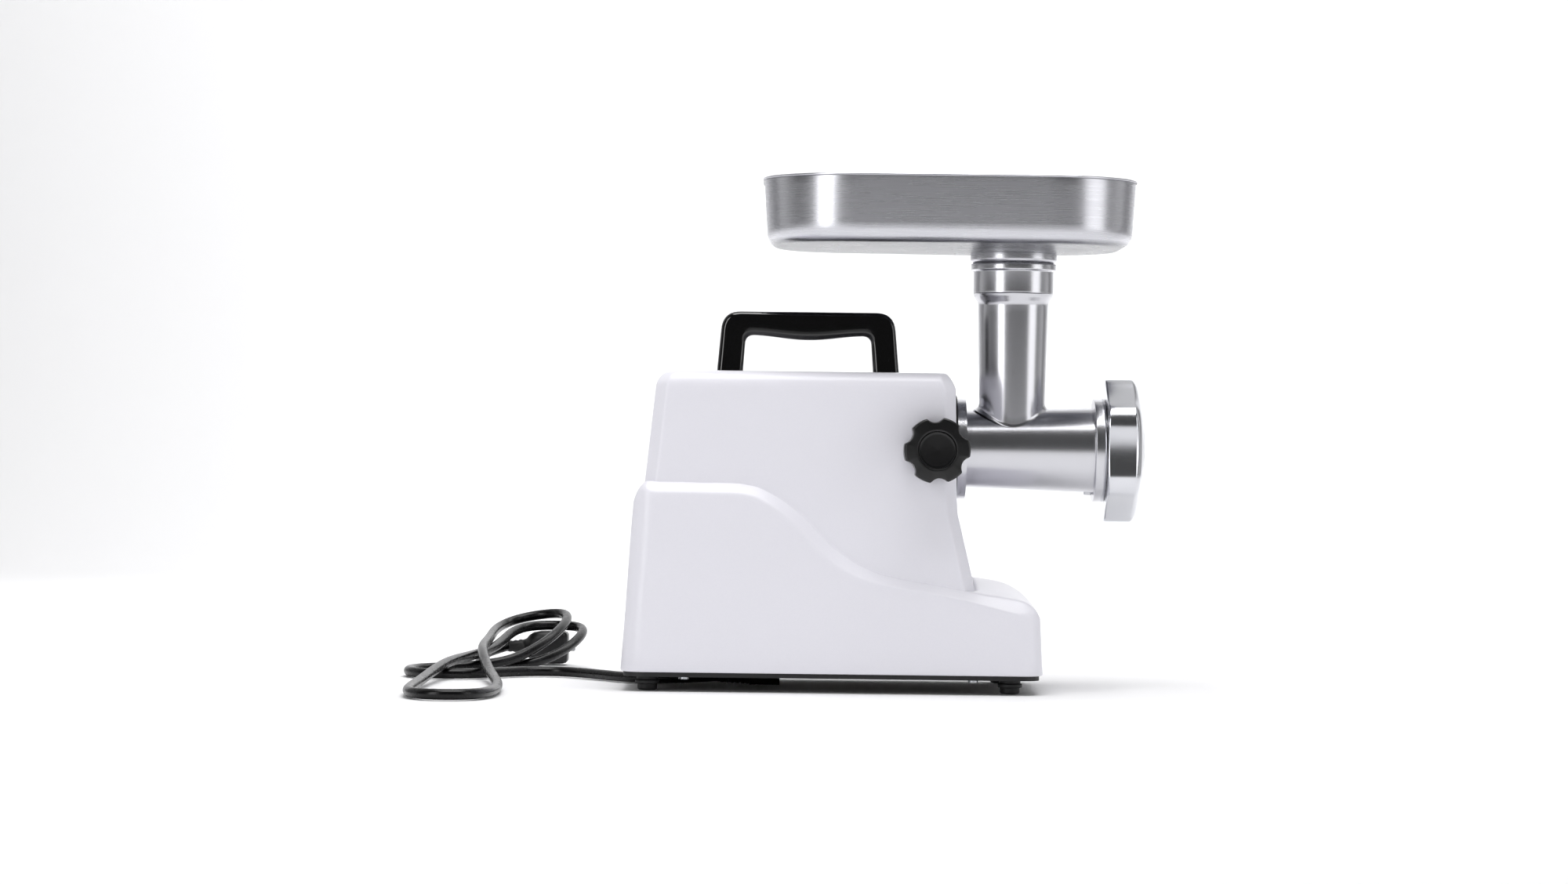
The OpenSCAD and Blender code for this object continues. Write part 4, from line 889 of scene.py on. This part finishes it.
class GrinderStage(bpy.types.PropertyGroup):
    """Where the camera stands."""

    lens: bpy.props.FloatProperty(name="Lens", description="Focal length in millimetres", default=88.2,
                                  min=35, max=200)
    distance: bpy.props.FloatProperty(name="Distance", description="From the machine's middle plane",
                                      default=2.8, unit="LENGTH")
    height: bpy.props.FloatProperty(name="Height", description="Above the table", default=0.171,
                                    unit="LENGTH")
    camera_x: bpy.props.FloatProperty(name="Sideways", description="Along the machine", default=-0.0337,
                                      unit="LENGTH")
    tilt: bpy.props.FloatProperty(name="Tilt", description="Upward tilt in degrees", default=0.13)
    roll: bpy.props.FloatProperty(name="Roll", description="Turn about the line of sight in degrees",
                                  default=-0.7)


FINISHES = {}


class GRINDER_OT_stage(bpy.types.Operator):
    """Make the floor, the lights and the camera"""

    bl_idname = "grinder.stage"
    bl_label = "Stage"

    def execute(self, context):
        stage()
        return {"FINISHED"}


class GRINDER_OT_lead(bpy.types.Operator):
    """Make the mains lead, its relief and its plug"""

    bl_idname = "grinder.lead"
    bl_label = "Mains lead"

    def execute(self, context):
        m = FINISHES
        lead(m["pvc"], m["pvc_matt"])
        strain_relief(m["pvc_matt"])
        return {"FINISHED"}


class GRINDER_OT_casings(bpy.types.Operator):
    """Make both casings, the handle, the gasket and the feet"""

    bl_idname = "grinder.casings"
    bl_label = "Casings"

    def execute(self, context):
        m = FINISHES
        lower_casing(m["white"])
        upper_casing(m["white"])
        carry_handle(m["gloss"])
        gasket_and_socket(m["rubber"], m["cast"])
        feet(m["rubber"])
        far_side_panel(m["base"])
        return {"FINISHED"}


class GRINDER_OT_head(bpy.types.Operator):
    """Make the barrel, the ring nut, the auger and the lock knob"""

    bl_idname = "grinder.head"
    bl_label = "Head"

    def execute(self, context):
        m = FINISHES
        grinder_barrel(m["cast"])
        ring_nut(m["polish"])
        auger(m["cast"])
        lock_knob(m["satin"], m["cap"])
        return {"FINISHED"}


class GRINDER_OT_tray(bpy.types.Operator):
    """Make the tray and its spigot"""

    bl_idname = "grinder.tray"
    bl_label = "Tray"

    def execute(self, context):
        meat_tray(FINISHES["tray"], FINISHES["sheet"])
        return {"FINISHED"}


class GRINDER_OT_finish(bpy.types.Operator):
    """Give the frame's own nodes their materials"""

    bl_idname = "grinder.finish"
    bl_label = "Materials"

    def execute(self, context):
        finish_nodes(FINISHES)
        return {"FINISHED"}


OPERATORS = [GRINDER_OT_stage, GRINDER_OT_lead, GRINDER_OT_casings, GRINDER_OT_head, GRINDER_OT_tray,
             GRINDER_OT_finish]


class GRINDER_PT_panel(bpy.types.Panel):
    """The machine's pieces in the sidebar"""

    bl_label = "Meat grinder"
    bl_idname = "GRINDER_PT_panel"
    bl_space_type = "VIEW_3D"
    bl_region_type = "UI"
    bl_category = "Grinder"

    def draw(self, context):
        for operator in OPERATORS:
            self.layout.operator(operator.bl_idname)


CLASSES = [GrinderStage, *OPERATORS, GRINDER_PT_panel]


def register():
    for c in CLASSES:
        bpy.utils.register_class(c)
    bpy.types.Scene.grinder_stage = bpy.props.PointerProperty(type=GrinderStage)


def unregister():
    del bpy.types.Scene.grinder_stage
    for c in reversed(CLASSES):
        bpy.utils.unregister_class(c)


def main():
    """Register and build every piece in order."""
    register()
    FINISHES.update(materials())
    for name in ("stage", "lead", "casings", "head", "tray", "finish"):
        getattr(bpy.ops.grinder, name)()


if __name__ == "__main__":
    main()
